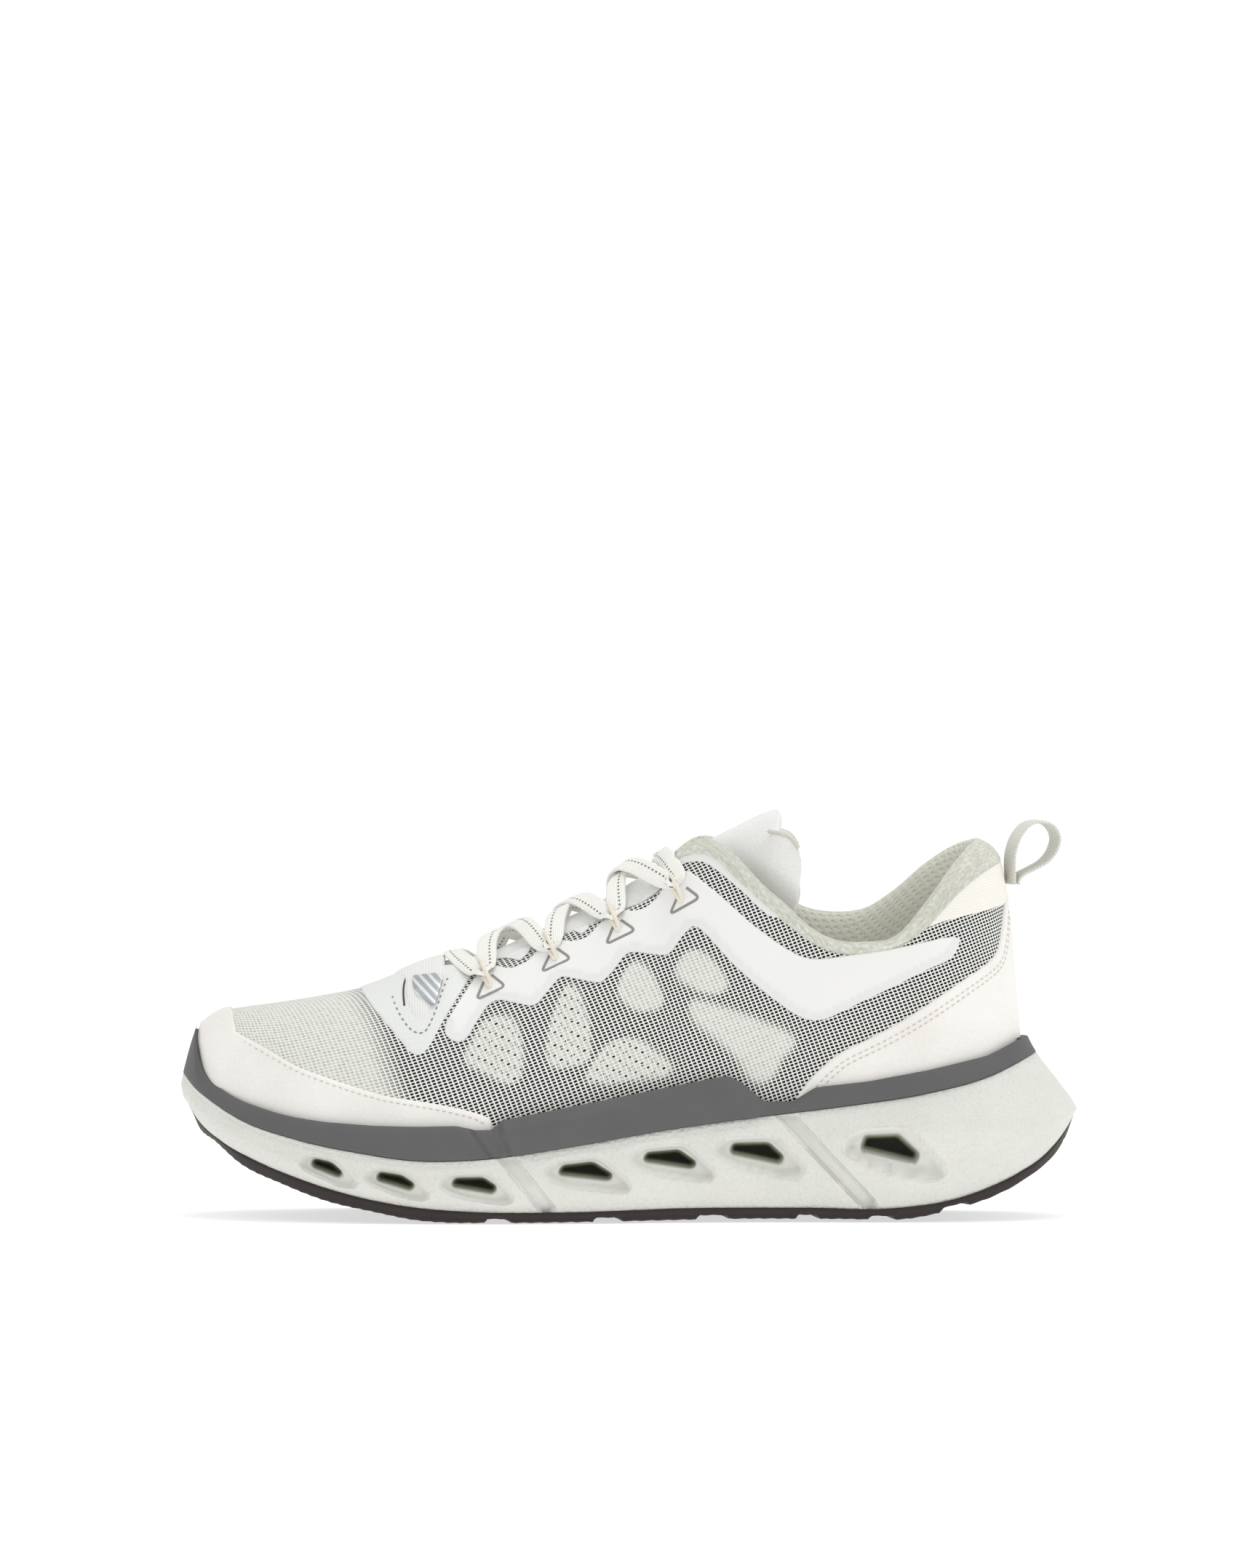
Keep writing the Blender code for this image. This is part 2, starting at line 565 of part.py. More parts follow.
def eyestays():
    """The film between the scalloped front of the cage and the throat."""
    scallop = smooth(sorted(SCALLOP))
    for side in (LATERAL, MEDIAL):
        places = [-48 + 57 * i / 18 for i in range(19)]
        rows = []
        for x in places:
            low, high = scallop(x) + 1.2, upper_height(x, throat_half(x), OVERLAY_DEPTH)
            row = []
            for j in range(4):
                z = low + (high - low) * math.sin(math.pi / 2 * j / 3)
                row.append((x, sole_middle(x) + side * upper_half(x, z, OVERLAY_DEPTH), z))
            rows.append(row)
        obj = new_object(f"eyestay_{SIDE_NAMES[side]}", mesh_of("eyestay", strips(rows)), FILM_PALE)
        face_out(obj)
        thicken(obj, FILM, obj.data.polygons[0].normal)


def throat_overlay():
    """The V of film over the bottom of the throat, drawn in plan and carried onto the top."""
    side = [(x, upper_half(x, z)) for x, z in THROAT_FILM]
    inner = [(x, throat_half(x) + 1) for x in (-53, -65, -74, -78)]
    half = [(-89, 0)] + side + inner
    outline = [(x, -y) for x, y in half] + [(-80, 0)] + [(x, y) for x, y in reversed(half[1:])]
    drape("throat_overlay", outline, on_top(OVERLAY_DEPTH), FILM, (0, 0, 1), FILM_PALE, 7.0)


# ---- collar ----


def collar_padding(x):
    """How thick the collar is at x, as a share of its thickness at the ankle."""
    return smooth([(COLLAR_FRONT, 0.5), (35, 0.7), (55, 1), (132, 1)])(x)


def collar_rows(side, section, front=COLLAR_FRONT, count=13):
    """A cross-section, carried along the collar from its front end to the back of the heel."""
    rows = []
    for i in range(count + 1):
        share, tip = math.sin(math.pi / 2 * i / count), i == count
        row = []
        for z_of, depth_of in section:
            x = front
            for _ in range(6):
                z, depth = z_of(LATERAL if tip else side, x), depth_of(x)
                x = front + (backline(z) - depth - front) * share
            row.append((x, sole_middle(x) + side * (0 if tip else upper_half(x, z, depth)), z))
        rows.append(row)
    return rows


def level(drop, share=0.0):
    """A height in the collar: a drop under the topline, or a share of the roll above its edge."""

    def z_of(side, x):
        top, edge = topline[side](x), roll_edge[side](x)
        return edge + share * (top - edge) if share else top - drop

    return z_of


def padded(full):
    return lambda x: full * collar_padding(x)


def collar_lining():
    section = [(lambda side, x: roll_edge[side](x), lambda x: -0.7),
               (level(0, 0.6), lambda x: -0.5),
               (level(0.6), padded(1.6)), (level(0), padded(3.6)), (level(1.6), padded(6)),
               (level(8), padded(8)), (level(20), padded(6.8)),
               (lambda side, x: 0.5 * base(x) + 0.5 * topline[side](x) - 8, lambda x: 4.6),
               (lambda side, x: base(x) + 2.2, lambda x: 4.2)]
    cells = []
    for side in (LATERAL, MEDIAL):
        cells += strips(collar_rows(side, section))
    obj = new_object("collar_lining", mesh_of("collar_lining", cells),
                     material("collar_knit", (0.67, 0.7, 0.62), 0.9))
    first = obj.data.polygons[0]
    thicken(obj, 0.8, (0, first.center.y, 0))


def collar_foam():
    section = [(level(2.6), padded(2.9)), (level(4.6), padded(4.4)), (level(9.5), padded(5.5)),
               (level(18), padded(5.2)), (level(24), lambda x: 2.9), (level(24), lambda x: 1.9),
               (lambda side, x: roll_edge[side](x) - 1.2, lambda x: 1.9)]
    rows = {side: [row + row[:1] for row in collar_rows(side, section, FOAM_FRONT)]
            for side in (LATERAL, MEDIAL)}
    cells = []
    for side in (LATERAL, MEDIAL):
        cells += strips(rows[side]) + [rows[side][0][:-1]]
    new_object("collar_foam", mesh_of("collar_foam", cells), material("foam", (0.8, 0.75, 0.55), 0.95))


# ---- tongue ----


def tongue():
    rows = []
    for i in range(15):
        x = -76 + (TONGUE_END + 76) * i / 14
        half = 10 + 12 * min(1.0, i / 4)
        half -= 8 * max(0.0, (x + 10) / (TONGUE_END + 10))
        rows.append([(x, sole_middle(x) + half * s, upper_height(x, half * s, 2.0))
                     for s in (-1, -0.7, -0.35, 0, 0.35, 0.7, 1)])
    obj = new_object("tongue", mesh_of("tongue", strips(rows)), TONGUE_WHITE)
    thicken(obj, TONGUE_THICK, (0, 0, 1))


def tongue_top():
    """The free end. Its origin is on the line about which it folds."""
    half, wrap, drop = smooth(FLAP_HALF), smooth(FLAP_WRAP), smooth(FLAP_DROP)
    rows = []
    steps = 8
    spine = smooth(FLAP_SPINE)
    for i in range(steps + 1):
        share = i / steps
        x = FLAP_SPINE[0][0] + (FLAP_SPINE[-1][0] - FLAP_SPINE[0][0]) * share
        rows.append([(x + wrap(share) * s * s, sole_middle(x) + half(share) * s,
                      spine(x) - drop(share) * s * s) for s in (-1, -0.7, -0.35, 0, 0.35, 0.7, 1)])
    obj = new_object("tongue_top", mesh_of("tongue_top", strips(rows)), TONGUE_WHITE)
    thicken(obj, TONGUE_THICK, (0, 0, 1))
    move_origin(obj, FLAP_HINGE)


def move_origin(obj, where):
    """Puts an object's origin on its joint's axis and leaves its shape where it is."""
    where = Vector(where) * MM
    obj.data.transform(Matrix.Translation(-where))
    obj.location = where


# ---- lace and what holds it ----


def tube(name, points, radius, made_of):
    """A round cord with flat ends."""
    curve = bpy.data.curves.new(name, "CURVE")
    curve.dimensions, curve.bevel_depth, curve.bevel_resolution = "3D", radius * MM, 2
    curve.use_fill_caps = True
    spline = curve.splines.new("POLY")
    spline.points.add(len(points) - 1)
    for point, place in zip(spline.points, points):
        point.co = (*[c * MM for c in place], 1)
    obj = as_mesh(link(bpy.data.objects.new(name, curve)))
    obj.data.materials.clear()
    obj.data.materials.append(made_of)
    return obj


def link(obj):
    shoe.objects.link(obj)
    return obj


def lace_turn(number, side, entering, leaving):
    """The lace goes down to a loop, round, and up again; entering and leaving are shifts along X."""
    x, z = ANCHORS[number]
    place = on_side(side, LACE_DEPTH)
    return [place(x + entering, z + 2.6), place(x + entering * 0.8, z + 0.9), place(x, z),
            place(x + leaving * 0.8, z + 0.9), place(x + leaving, z + 2.6)]


def lace_span(start, end, side, over, bulge=0.0):
    """From one side to the other across the tongue; over says whether it is the upper strand."""
    points = []
    for k in range(1, 12):
        share = k / 12
        x = start[0] + (end[0] - start[0]) * share + bulge * math.sin(math.pi * share)
        z = start[1] + (end[1] - start[1]) * share
        y = side * upper_half(x, z, LACE_DEPTH) * math.cos(math.pi * share)
        sunk = max(0.0, 1 - (y / (throat_half(x) - 2)) ** 2)
        depth = LACE_DEPTH + (0.9 if over else 3.3) * sunk
        points.append((x, sole_middle(x) + y, upper_height(x, y, depth)))
    return points


def lace_route():
    """One lace, from the middle of the top down one set of loops to the bar, and up the other."""
    turns = [(3, LATERAL), (2, MEDIAL), (1, LATERAL), (0, MEDIAL),
             (0, LATERAL), (1, MEDIAL), (2, LATERAL), (3, MEDIAL)]
    top_x, top_z = ANCHORS[3]
    points = lace_span((top_x, top_z), (top_x + TURN, top_z + 3), MEDIAL, False)[4:]
    for (number, side), (following, _) in zip(turns, turns[1:] + [(None, None)]):
        down = side * (-1) ** number == MEDIAL
        entering = TURN if down else -TURN
        points += lace_turn(number, side, entering, -entering)
        if following is None:
            break
        (x, z), (next_x, next_z) = ANCHORS[number], ANCHORS[following]
        if number == following:
            points += lace_span((x - TURN, z + 3), (x - TURN, z + 3), side, False, -3.5)
        else:
            shift = -entering
            points += lace_span((x + shift, z + 3), (next_x - shift, next_z + 3), side, down)
    place = on_side(MEDIAL, LACE_DEPTH)
    return points + [place(top_x + x, top_z + z) for x, z in LACE_END]


def lace_parts():
    route = lace_route()
    tube("lace", route, LACE_RADIUS, material("lace_white", (0.85, 0.84, 0.79), 0.9))
    tip = material("aglet", (0.8, 0.8, 0.78), 0.3)
    for name, end, before in (("aglet_top", route[0], route[1]), ("aglet_tail", route[-1], route[-2])):
        end, run = Vector(end), (Vector(end) - Vector(before)).normalized()
        tube(name, [end + run * GAP, end + run * (GAP + 9)], LACE_RADIUS, tip)
    for side in (LATERAL, MEDIAL):
        for number, (x, z) in enumerate(ANCHORS):
            lace_loop(f"lace_loop_{number + 1}_{SIDE_NAMES[side]}", side, x, z)


def lace_loop(name, side, x, z):
    """A cord that comes out of the cage under the lace, over it, and back in above it."""
    middle = Vector(on_side(side, LACE_DEPTH)(x, z))
    above = Vector(on_side(side, LACE_DEPTH)(x, z + 2))
    up = (above - middle).normalized()
    out = Vector((0, side * abs(up.z), -side * up.y)).normalized()
    around = LACE_RADIUS + LOOP_RADIUS + 0.4
    points = []
    for k in range(9):
        angle = math.radians(-105 + 210 * k / 8)
        points.append(middle + around * (math.cos(angle) * out + math.sin(angle) * up))
    tube(name, points, LOOP_RADIUS, CORD_CREAM)


def pull_loop():
    """A webbing loop: two outlines in side view, pulled out along Y."""
    curve = bpy.data.curves.new("pull_loop", "CURVE")
    curve.dimensions, curve.fill_mode, curve.extrude = "2D", "BOTH", LOOP_WIDTH / 2 * MM
    for outline in (LOOP_OUTER, LOOP_INNER):
        spline = curve.splines.new("POLY")
        spline.points.add(len(outline) - 1)
        for point, (x, z) in zip(spline.points, outline):
            point.co = (x * MM, z * MM, 0, 1)
        spline.use_cyclic_u = True
    obj = link(bpy.data.objects.new("pull_loop", curve))
    obj.rotation_euler = (math.radians(90), 0, 0)
    obj.location = (0, LOOP_HINGE[1] * MM, 0)
    obj = as_mesh(obj)
    obj.data.transform(obj.matrix_world)
    obj.matrix_world = Matrix()
    obj.data.materials.append(material("webbing", (0.78, 0.77, 0.74), 0.8))
    move_origin(obj, LOOP_HINGE)


def tongue_keeper():
    """The grey lace keeper on the bottom of the tongue, a small patch."""
    grey = material("keeper_grey", (0.35, 0.36, 0.37), 0.4)
    drape("tongue_keeper", KEEPER, on_top(1.0), 0.6, (0, 0, 1), grey, 4.0)


def build():
    outsole()
    midsole()
    midsole_frame()
    footbed("strobel_board", 0.1, 0.1 + BOARD, KNIT + 0.5, material("board", (0.8, 0.79, 0.75), 0.9))
    footbed("insole", 0.1 + BOARD + GAP, BOARD + GAP + INSOLE, 4.9,
            material("insole_foam", (0.5, 0.55, 0.52), 0.9))
    mesh_upper()
    toe_parts()
    heel_parts()
    underlays()
    cages()
    eyestays()
    throat_overlay()
    collar_lining()
    collar_foam()
    tongue()
    tongue_top()
    tongue_keeper()
    lace_parts()
    pull_loop()


def fresh_collection(name):
    made = bpy.data.collections.new(name)
    bpy.context.scene.collection.children.link(made)
    return made


for old in list(bpy.data.objects):
    bpy.data.objects.remove(old)
shoe = fresh_collection("running_shoe")
cutters = fresh_collection("cutters")
cutters.hide_render = True
KNIT_WHITE = material("knit_white", (0.8, 0.8, 0.77), 0.9)
FILM_PALE = material("film_pale", (0.8, 0.86, 0.86), 0.45)
LEATHER_WHITE = material("leather_white", (0.79, 0.77, 0.73), 0.55)
CORD_CREAM = material("cord_cream", (0.78, 0.72, 0.6), 0.8)
TONGUE_WHITE = material("tongue_white", (0.88, 0.88, 0.87), 0.9)
build()
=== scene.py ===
"""The looks of a left running shoe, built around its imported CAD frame.

Constants are in millimetres, the scene is in metres. The toe points along -X, the outer (lateral)
side faces -Y and Z is up. The form of the shoe is the CAD's own: depths are measured inwards from
the outer face of the knit upper, so whatever lies on the knit has a negative depth.
"""

import math

import bmesh
import bpy
import numpy as np
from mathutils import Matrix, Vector
from mathutils.geometry import delaunay_2d_cdt


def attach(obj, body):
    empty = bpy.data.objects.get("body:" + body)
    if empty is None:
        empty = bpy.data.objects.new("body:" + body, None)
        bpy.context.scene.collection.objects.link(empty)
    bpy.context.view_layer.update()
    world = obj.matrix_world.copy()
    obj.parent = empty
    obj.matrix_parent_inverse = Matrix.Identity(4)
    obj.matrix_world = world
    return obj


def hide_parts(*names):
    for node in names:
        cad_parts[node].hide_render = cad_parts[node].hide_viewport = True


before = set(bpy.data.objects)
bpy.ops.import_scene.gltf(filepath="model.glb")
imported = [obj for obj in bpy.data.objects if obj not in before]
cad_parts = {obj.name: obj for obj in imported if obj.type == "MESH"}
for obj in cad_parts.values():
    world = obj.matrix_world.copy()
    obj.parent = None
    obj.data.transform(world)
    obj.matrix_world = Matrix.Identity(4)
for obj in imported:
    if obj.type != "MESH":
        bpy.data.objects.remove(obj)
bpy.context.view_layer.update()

MM = 0.001
LATERAL, MEDIAL = -1, 1
SIDES = (LATERAL, MEDIAL)
SIDE_NAMES = {LATERAL: "lateral", MEDIAL: "medial"}
CHUNK = 2000  # points compared with a line at once, to save memory

# ---- the form, as in the CAD: heights along the shoe, from toe to heel ----
OUTSOLE_BOTTOM = [(-147, 35), (-144, 29.8), (-138, 25.5), (-130, 19), (-115, 12.2), (-100, 6.8),
                  (-85, 3.6), (-70, 0.8), (-58, 0), (-33, 0), (0, 0.3), (40, 0.8), (70, 0.7),
                  (95, 1), (110, 4.3), (120, 7.3), (130, 12), (139, 18), (144, 22.8), (149, 31)]
MIDSOLE_BOTTOM = [(-147.5, 37), (-144, 32.5), (-135, 25.4), (-125, 20.3), (-110, 14.4), (-90, 8.5),
                  (-70, 5), (-50, 3.6), (-20, 3.4), (20, 4.4), (60, 4.4), (90, 4.4), (110, 7.6),
                  (120, 11), (130, 15.6), (140, 22.3), (145, 27.7), (149.5, 34)]
FLARE = [(-150, 43), (-145, 37.5), (-135, 30.5), (-120, 23.5), (-90, 14.5), (-60, 11.5), (0, 15.5),
         (50, 23), (80, 29.5), (109, 33.2), (136, 32.2), (150.2, 36.5)]
MIDSOLE_TOP = [(-149.3, 47.8), (-145, 43.3), (-140, 39.7), (-130, 33.8), (-110, 27.2), (-90, 23.2),
               (-70, 20.6), (-50, 21), (-20, 25.1), (10, 30.2), (40, 34.3), (70, 38), (100, 42.6),
               (120, 47.7), (136.5, 55)]
DISH = [(-144, 40.5), (-135, 33), (-120, 26.5), (-100, 21.5), (-80, 18), (-60, 17), (-20, 20.5),
        (20, 24), (60, 27.5), (100, 30), (136, 33)]
FRAME_TOP = [(-145, 63.4), (-144.4, 60), (-143.9, 57.2), (-142.7, 52.2), (-140, 46.5), (-135, 42.8),
             (-120, 36.8), (-100, 33.2), (-84, 32.2), (-70, 32), (-57, 32.3), (-50.5, 30.9),
             (-45, 31), (-42.2, 34.1), (30, 48), (33.5, 48.5), (37.5, 46.4), (45.6, 39.9),
             (54.8, 39.9), (62.5, 44.6), (80, 46.6), (100, 50.3), (120, 54.8), (132, 60.2)]
UPPER_FRONT = -142.5
RIDGE = [(-143, 64), (-140, 66.4), (-136, 68.5), (-130, 69.6), (-120, 71), (-100, 74.2),
         (-89, 76.5), (-80, 79.8), (-70, 84), (-60, 87), (-50, 88.6), (-31, 96.5), (-12, 105.5),
         (0, 112.5), (12, 121.5), (18, 131), (24, 139), (35, 147), (60, 153), (90, 150), (132, 146)]
# Height, then how far back the heel reaches there
BACKLINE = [(20, 131), (60, 130.5), (80, 128.8), (103, 126.7), (113, 125.4), (119, 123.9),
            (123, 121.6), (127, 118.4), (132, 115)]
TOPLINE = {
    LATERAL: [(16, 121.6), (22, 125.9), (28, 126.4), (35, 121.8), (45, 111.5), (53, 104.6),
              (60, 98), (70, 93), (78, 92.5), (90, 95), (100, 106.3), (110, 119.6), (115, 124.6),
              (119, 126.9)],
    MEDIAL: [(16, 121.6), (22, 125.9), (28, 126.4), (35, 122), (45, 112.6), (56, 104), (70, 100.7),
             (80, 102), (90, 108.3), (100, 117), (110, 123.6), (119, 126.9)],
}
ROLL_EDGE = {
    LATERAL: [(16, 120.4), (20, 122.2), (24, 122.9), (30, 120.6), (36, 115), (45, 106.8),
              (55, 98.4), (63, 92.8), (70, 90.3), (80, 90.1), (90, 92.3), (100, 99),
              (110, 109.5), (120, 117), (125, 119.6)],
    MEDIAL: [(16, 120.4), (20, 122.2), (24, 122.9), (30, 120.6), (36, 115.2), (45, 107.4),
             (56, 99.5), (70, 96.4), (80, 97.4), (90, 101.4), (100, 107), (110, 113),
             (120, 118), (125, 119.6)],
}
SOLE_HALF = [(-150, 54), (-120, 54.5), (-90, 55.5), (-65, 55.5), (-40, 53), (-10, 47), (20, 42),
             (50, 40), (80, 41.7), (105, 43), (150, 43)]
SOLE_MIDDLE = [(-150, 9.5), (-138, 5.5), (-120, 3), (-95, 1.5), (-65, 0), (-40, -2), (-10, -4),
               (20, -3.5), (50, -2.7), (80, -2), (105, -1.5), (150, -0.5)]
TOE_ROUNDNESS, HEEL_ROUNDNESS = 4, 7
UPPER_INSET = 7.5
FULLNESS = [(-143, 2.6), (-100, 2.4), (-60, 2.1), (0, 2), (40, 2.5), (140, 2.5)]
THROAT_HALF = [(-79, 0), (-74, 9), (-65, 12.5), (-20, 15), (15, 17.5)]
THROAT_START = -79


def smooth(points):
    """A curve through the points, as a function of the first coordinate."""
    x, y = np.array(points, float).T
    step, rise = np.diff(x), np.diff(y) / np.diff(x)
    inner = (rise[:-1] * step[1:] + rise[1:] * step[:-1]) / (step[1:] + step[:-1])
    slope = np.concatenate(([rise[0]], inner, [rise[-1]]))

    def at(where):
        where = np.clip(np.asarray(where, float), x[0], x[-1])
        i = np.clip(np.searchsorted(x, where) - 1, 0, len(step) - 1)
        t = (where - x[i]) / step[i]
        start, end = slope[i] * step[i], slope[i + 1] * step[i]
        bend = 3 * (y[i + 1] - y[i]) - 2 * start - end
        return y[i] + t * (start + t * (bend + t * (start + end - 2 * (y[i + 1] - y[i]))))

    return at


outsole_bottom, midsole_bottom = smooth(OUTSOLE_BOTTOM), smooth(MIDSOLE_BOTTOM)
flare, midsole_top, dish = smooth(FLARE), smooth(MIDSOLE_TOP), smooth(DISH)
ridge, backline = smooth(RIDGE), smooth(BACKLINE)
toplines = {side: smooth(points) for side, points in TOPLINE.items()}
roll_edges = {side: smooth(points) for side, points in ROLL_EDGE.items()}
sole_half, sole_middle = smooth(SOLE_HALF), smooth(SOLE_MIDDLE)
fullness, throat_half = smooth(FULLNESS), smooth(THROAT_HALF)
frame_nose = smooth(FRAME_TOP)
NOSE_END = -100  # ahead of this the grey band's top has no corners


def frame_top(x):
    """Top of the grey band: straight runs with tight corners, smooth over the toe."""
    steps = [np.interp(x + step, *np.array(FRAME_TOP).T) for step in np.linspace(-1, 1, 5)]
    return np.where(x < NOSE_END, frame_nose(x), np.mean(steps, 0))


def by_side(curves):
    """One curve for both sides: takes an array of sides and an array of places."""
    return lambda side, x: np.where(side < 0, curves[LATERAL](x), curves[MEDIAL](x))


topline, roll_edge = by_side(toplines), by_side(roll_edges)


def smoothstep(low, high, value):
    t = np.clip((value - low) / (high - low), 0, 1)
    return t * t * (3 - 2 * t)


def unit(vectors):
    """The same directions, one unit long."""
    return vectors / np.maximum(np.linalg.norm(vectors, axis=-1, keepdims=True), 1e-9)


def run_along(line):
    """The length of a line up to each of its points."""
    return np.concatenate(([0], np.cumsum(np.linalg.norm(np.diff(line, axis=0), axis=1))))


def constant(value):
    """A curve that is the same everywhere."""
    return lambda x: value + 0 * x


def closing(x, front, rear):
    """How far the plan outline has closed towards its tips: 1 amidships, 0 at either tip."""
    reach = np.abs(np.where(x < 0, x / front, x / rear))
    power = np.where(x < 0, TOE_ROUNDNESS, HEEL_ROUNDNESS)
    return np.sqrt(1 - np.minimum(1, reach) ** power)


def base(x):
    return dish(x) + 0.3


def upper_side(x, z, depth):
    rear = backline(z) - depth
    return (sole_half(x) - UPPER_INSET - depth) * closing(x, UPPER_FRONT + depth, rear)


def upper_half(x, z, depth=0.0):
    """Half width of the upper at height z."""
    level = np.clip((z - base(x)) / (ridge(x) - depth - base(x)), 0, 1)
    power = fullness(x)
    return upper_side(x, z, depth) * (1 - level**power) ** (1 / power)


def upper_height(x, half, depth=0.0):
    """Height at which the upper is this half width."""
    power, tall = fullness(x), ridge(x) - depth - base(x)
    share = np.minimum(1, np.abs(half) / np.maximum(upper_side(x, base(x), depth), 1e-6))
    return base(x) + tall * (1 - share**power) ** (1 / power)


def on_side(side):
    """Carries side-view points onto one side of the upper, each at its own depth."""

    def place(flat, depth):
        x, z = flat[..., 0], flat[..., 1]
        return np.stack([x, sole_middle(x) + side * upper_half(x, z, depth), z], -1)

    return place


def on_top(flat, depth):
    """Carries plan points, measured from the middle line, onto the top of the upper."""
    x, y = flat[..., 0], flat[..., 1]
    return np.stack([x, sole_middle(x) + y, upper_height(x, y, depth)], -1)


def ring_length(half_at, front, rear):
    """Shares of the way from tip to tip, and the length round the outline up to each."""
    share = (1 - np.cos(np.linspace(0, math.pi, 1200))) / 2
    x = front + (rear - front) * share
    y = half_at(x)
    return share, np.concatenate(([0], np.cumsum(np.hypot(np.diff(x), np.diff(y)))))


HEEL_SHARE, HEEL_ARC = ring_length(lambda x: upper_half(x, 60.0), UPPER_FRONT, 130.5)
HEEL_ARC = HEEL_ARC[-1] - HEEL_ARC


def round_heel(flat, depth):
    """Carries (length round the heel from its back, height) onto the upper. Lateral is negative."""
    around, z = flat[..., 0], flat[..., 1]
    share = np.interp(np.abs(around), HEEL_ARC[::-1], HEEL_SHARE[::-1])
    front, rear = UPPER_FRONT + depth, backline(z) - depth
    x = front + (rear - front) * share
    side = np.where(around < 0, -1, 1)
    half = upper_half(x, z, depth) * (np.abs(around) > 1e-6)
    return np.stack([x, sole_middle(x) + side * half, z], -1)


def unrolled(x, z):
    """The length round the heel, from its back, of a side-view point."""
    share = np.clip((x - UPPER_FRONT) / (backline(z) - UPPER_FRONT), 0, 1)
    return np.interp(share, HEEL_SHARE, HEEL_ARC)


# ---- outlines ----
def resampled(points, step, closed=True):
    """The same line with points at even distances."""
    points = np.array(points, float)
    line = np.vstack([points, points[:1]]) if closed else points
    run = run_along(line)
    count = max(3, int(round(run[-1] / step)))
    at = np.linspace(0, run[-1], count + 1)
    out = np.stack([np.interp(at, run, line[:, k]) for k in range(line.shape[1])], -1)
    return out[:-1] if closed else out


def rounded(corners, radius, step=0.7, closed=True):
    """An outline with its corners rounded off, as evenly spaced points."""
    corners = np.array(corners, float)
    count, out = len(corners), []
    for i, corner in enumerate(corners):
        if not closed and i in (0, count - 1):
            out.append(corner)
            continue
        before, after = corners[i - 1] - corner, corners[(i + 1) % count] - corner
        long = [np.linalg.norm(leg) for leg in (before, after)]
        reach = [min(radius, 0.5 * length) / length for length in long]
        start, end = corner + before * reach[0], corner + after * reach[1]
        for t in np.linspace(0, 1, 7):
            out.append((1 - t) ** 2 * start + 2 * t * (1 - t) * corner + t * t * end)
    return resampled(out, step, closed)


def inside_distance(points, outline):
    """Distance of each point from a closed outline, positive inside it."""
    a, b = outline, np.roll(outline, -1, axis=0)
    edge = b - a
    length2 = np.maximum((edge**2).sum(1), 1e-12)
    found = []
    for start in range(0, len(points), CHUNK):
        p = points[start : start + CHUNK]
        to = p[:, None] - a[None]
        t = np.clip((to * edge).sum(2) / length2, 0, 1)
        near = np.sqrt(((to - t[..., None] * edge) ** 2).sum(2)).min(1)
        above = (a[:, 1] > p[:, 1:2]) != (b[:, 1] > p[:, 1:2])
        slope = edge[:, 0] / np.where(np.abs(edge[:, 1]) < 1e-12, 1e-12, edge[:, 1])
        crosses = above & (p[:, :1] < a[:, 0] + (p[:, 1:2] - a[:, 1]) * slope)
        found.append(np.where(crosses.sum(1) % 2 == 1, near, -near))
    return np.concatenate(found)


def line_distance(points, line):
    """Distance of each point from an open line, and how far along the line the nearest place is."""
    a, edge = line[:-1], np.diff(line, axis=0)
    length = np.linalg.norm(edge, axis=1)
    run = np.concatenate(([0], np.cumsum(length)))[:-1]
    to = points[:, None] - a[None]
    t = np.clip((to * edge).sum(2) / length**2, 0, 1)
    gap = np.sqrt(((to - t[..., None] * edge) ** 2).sum(2))
    best = gap.argmin(1)
    rows = np.arange(len(points))
    return gap[rows, best], run[best] + t[rows, best] * length[best]


def offset(outline, distance):
    """Points moved inwards from a closed outline, those that would come too near it left out."""
    forward = np.roll(outline, -1, axis=0) - np.roll(outline, 1, axis=0)
    normal = unit(np.stack([-forward[:, 1], forward[:, 0]], -1))
    if inside_distance(outline + 0.05 * normal, outline).mean() < 0:
        normal = -normal
    moved = outline + distance * normal
    return moved[inside_distance(moved, outline) * np.sign(distance) > 0.93 * abs(distance)]


def lattice(low, high, spacing):
    """Points of a triangular lattice that fills a box."""
    across = np.arange(low[0], high[0], spacing)
    up = np.arange(low[1], high[1], spacing * 0.866)
    x, y = np.meshgrid(across, up, indexing="ij")
    x = x + spacing / 2 * (np.arange(len(up)) % 2)[None]
    return np.stack([x.ravel(), y.ravel()], -1)


def triangulated(points, loops=()):
    """Delaunay triangles of the points, only those inside the loops where there are any."""
    edges, start = [], 0
    for count in loops:
        edges += [(start + i, start + (i + 1) % count) for i in range(count)]
        start += count
    result = delaunay_2d_cdt([Vector(p) for p in points], edges, [], 1 if loops else 0, 1e-6)
    return np.array([tuple(v) for v in result[0]]), np.array([f for f in result[2] if len(f) == 3])


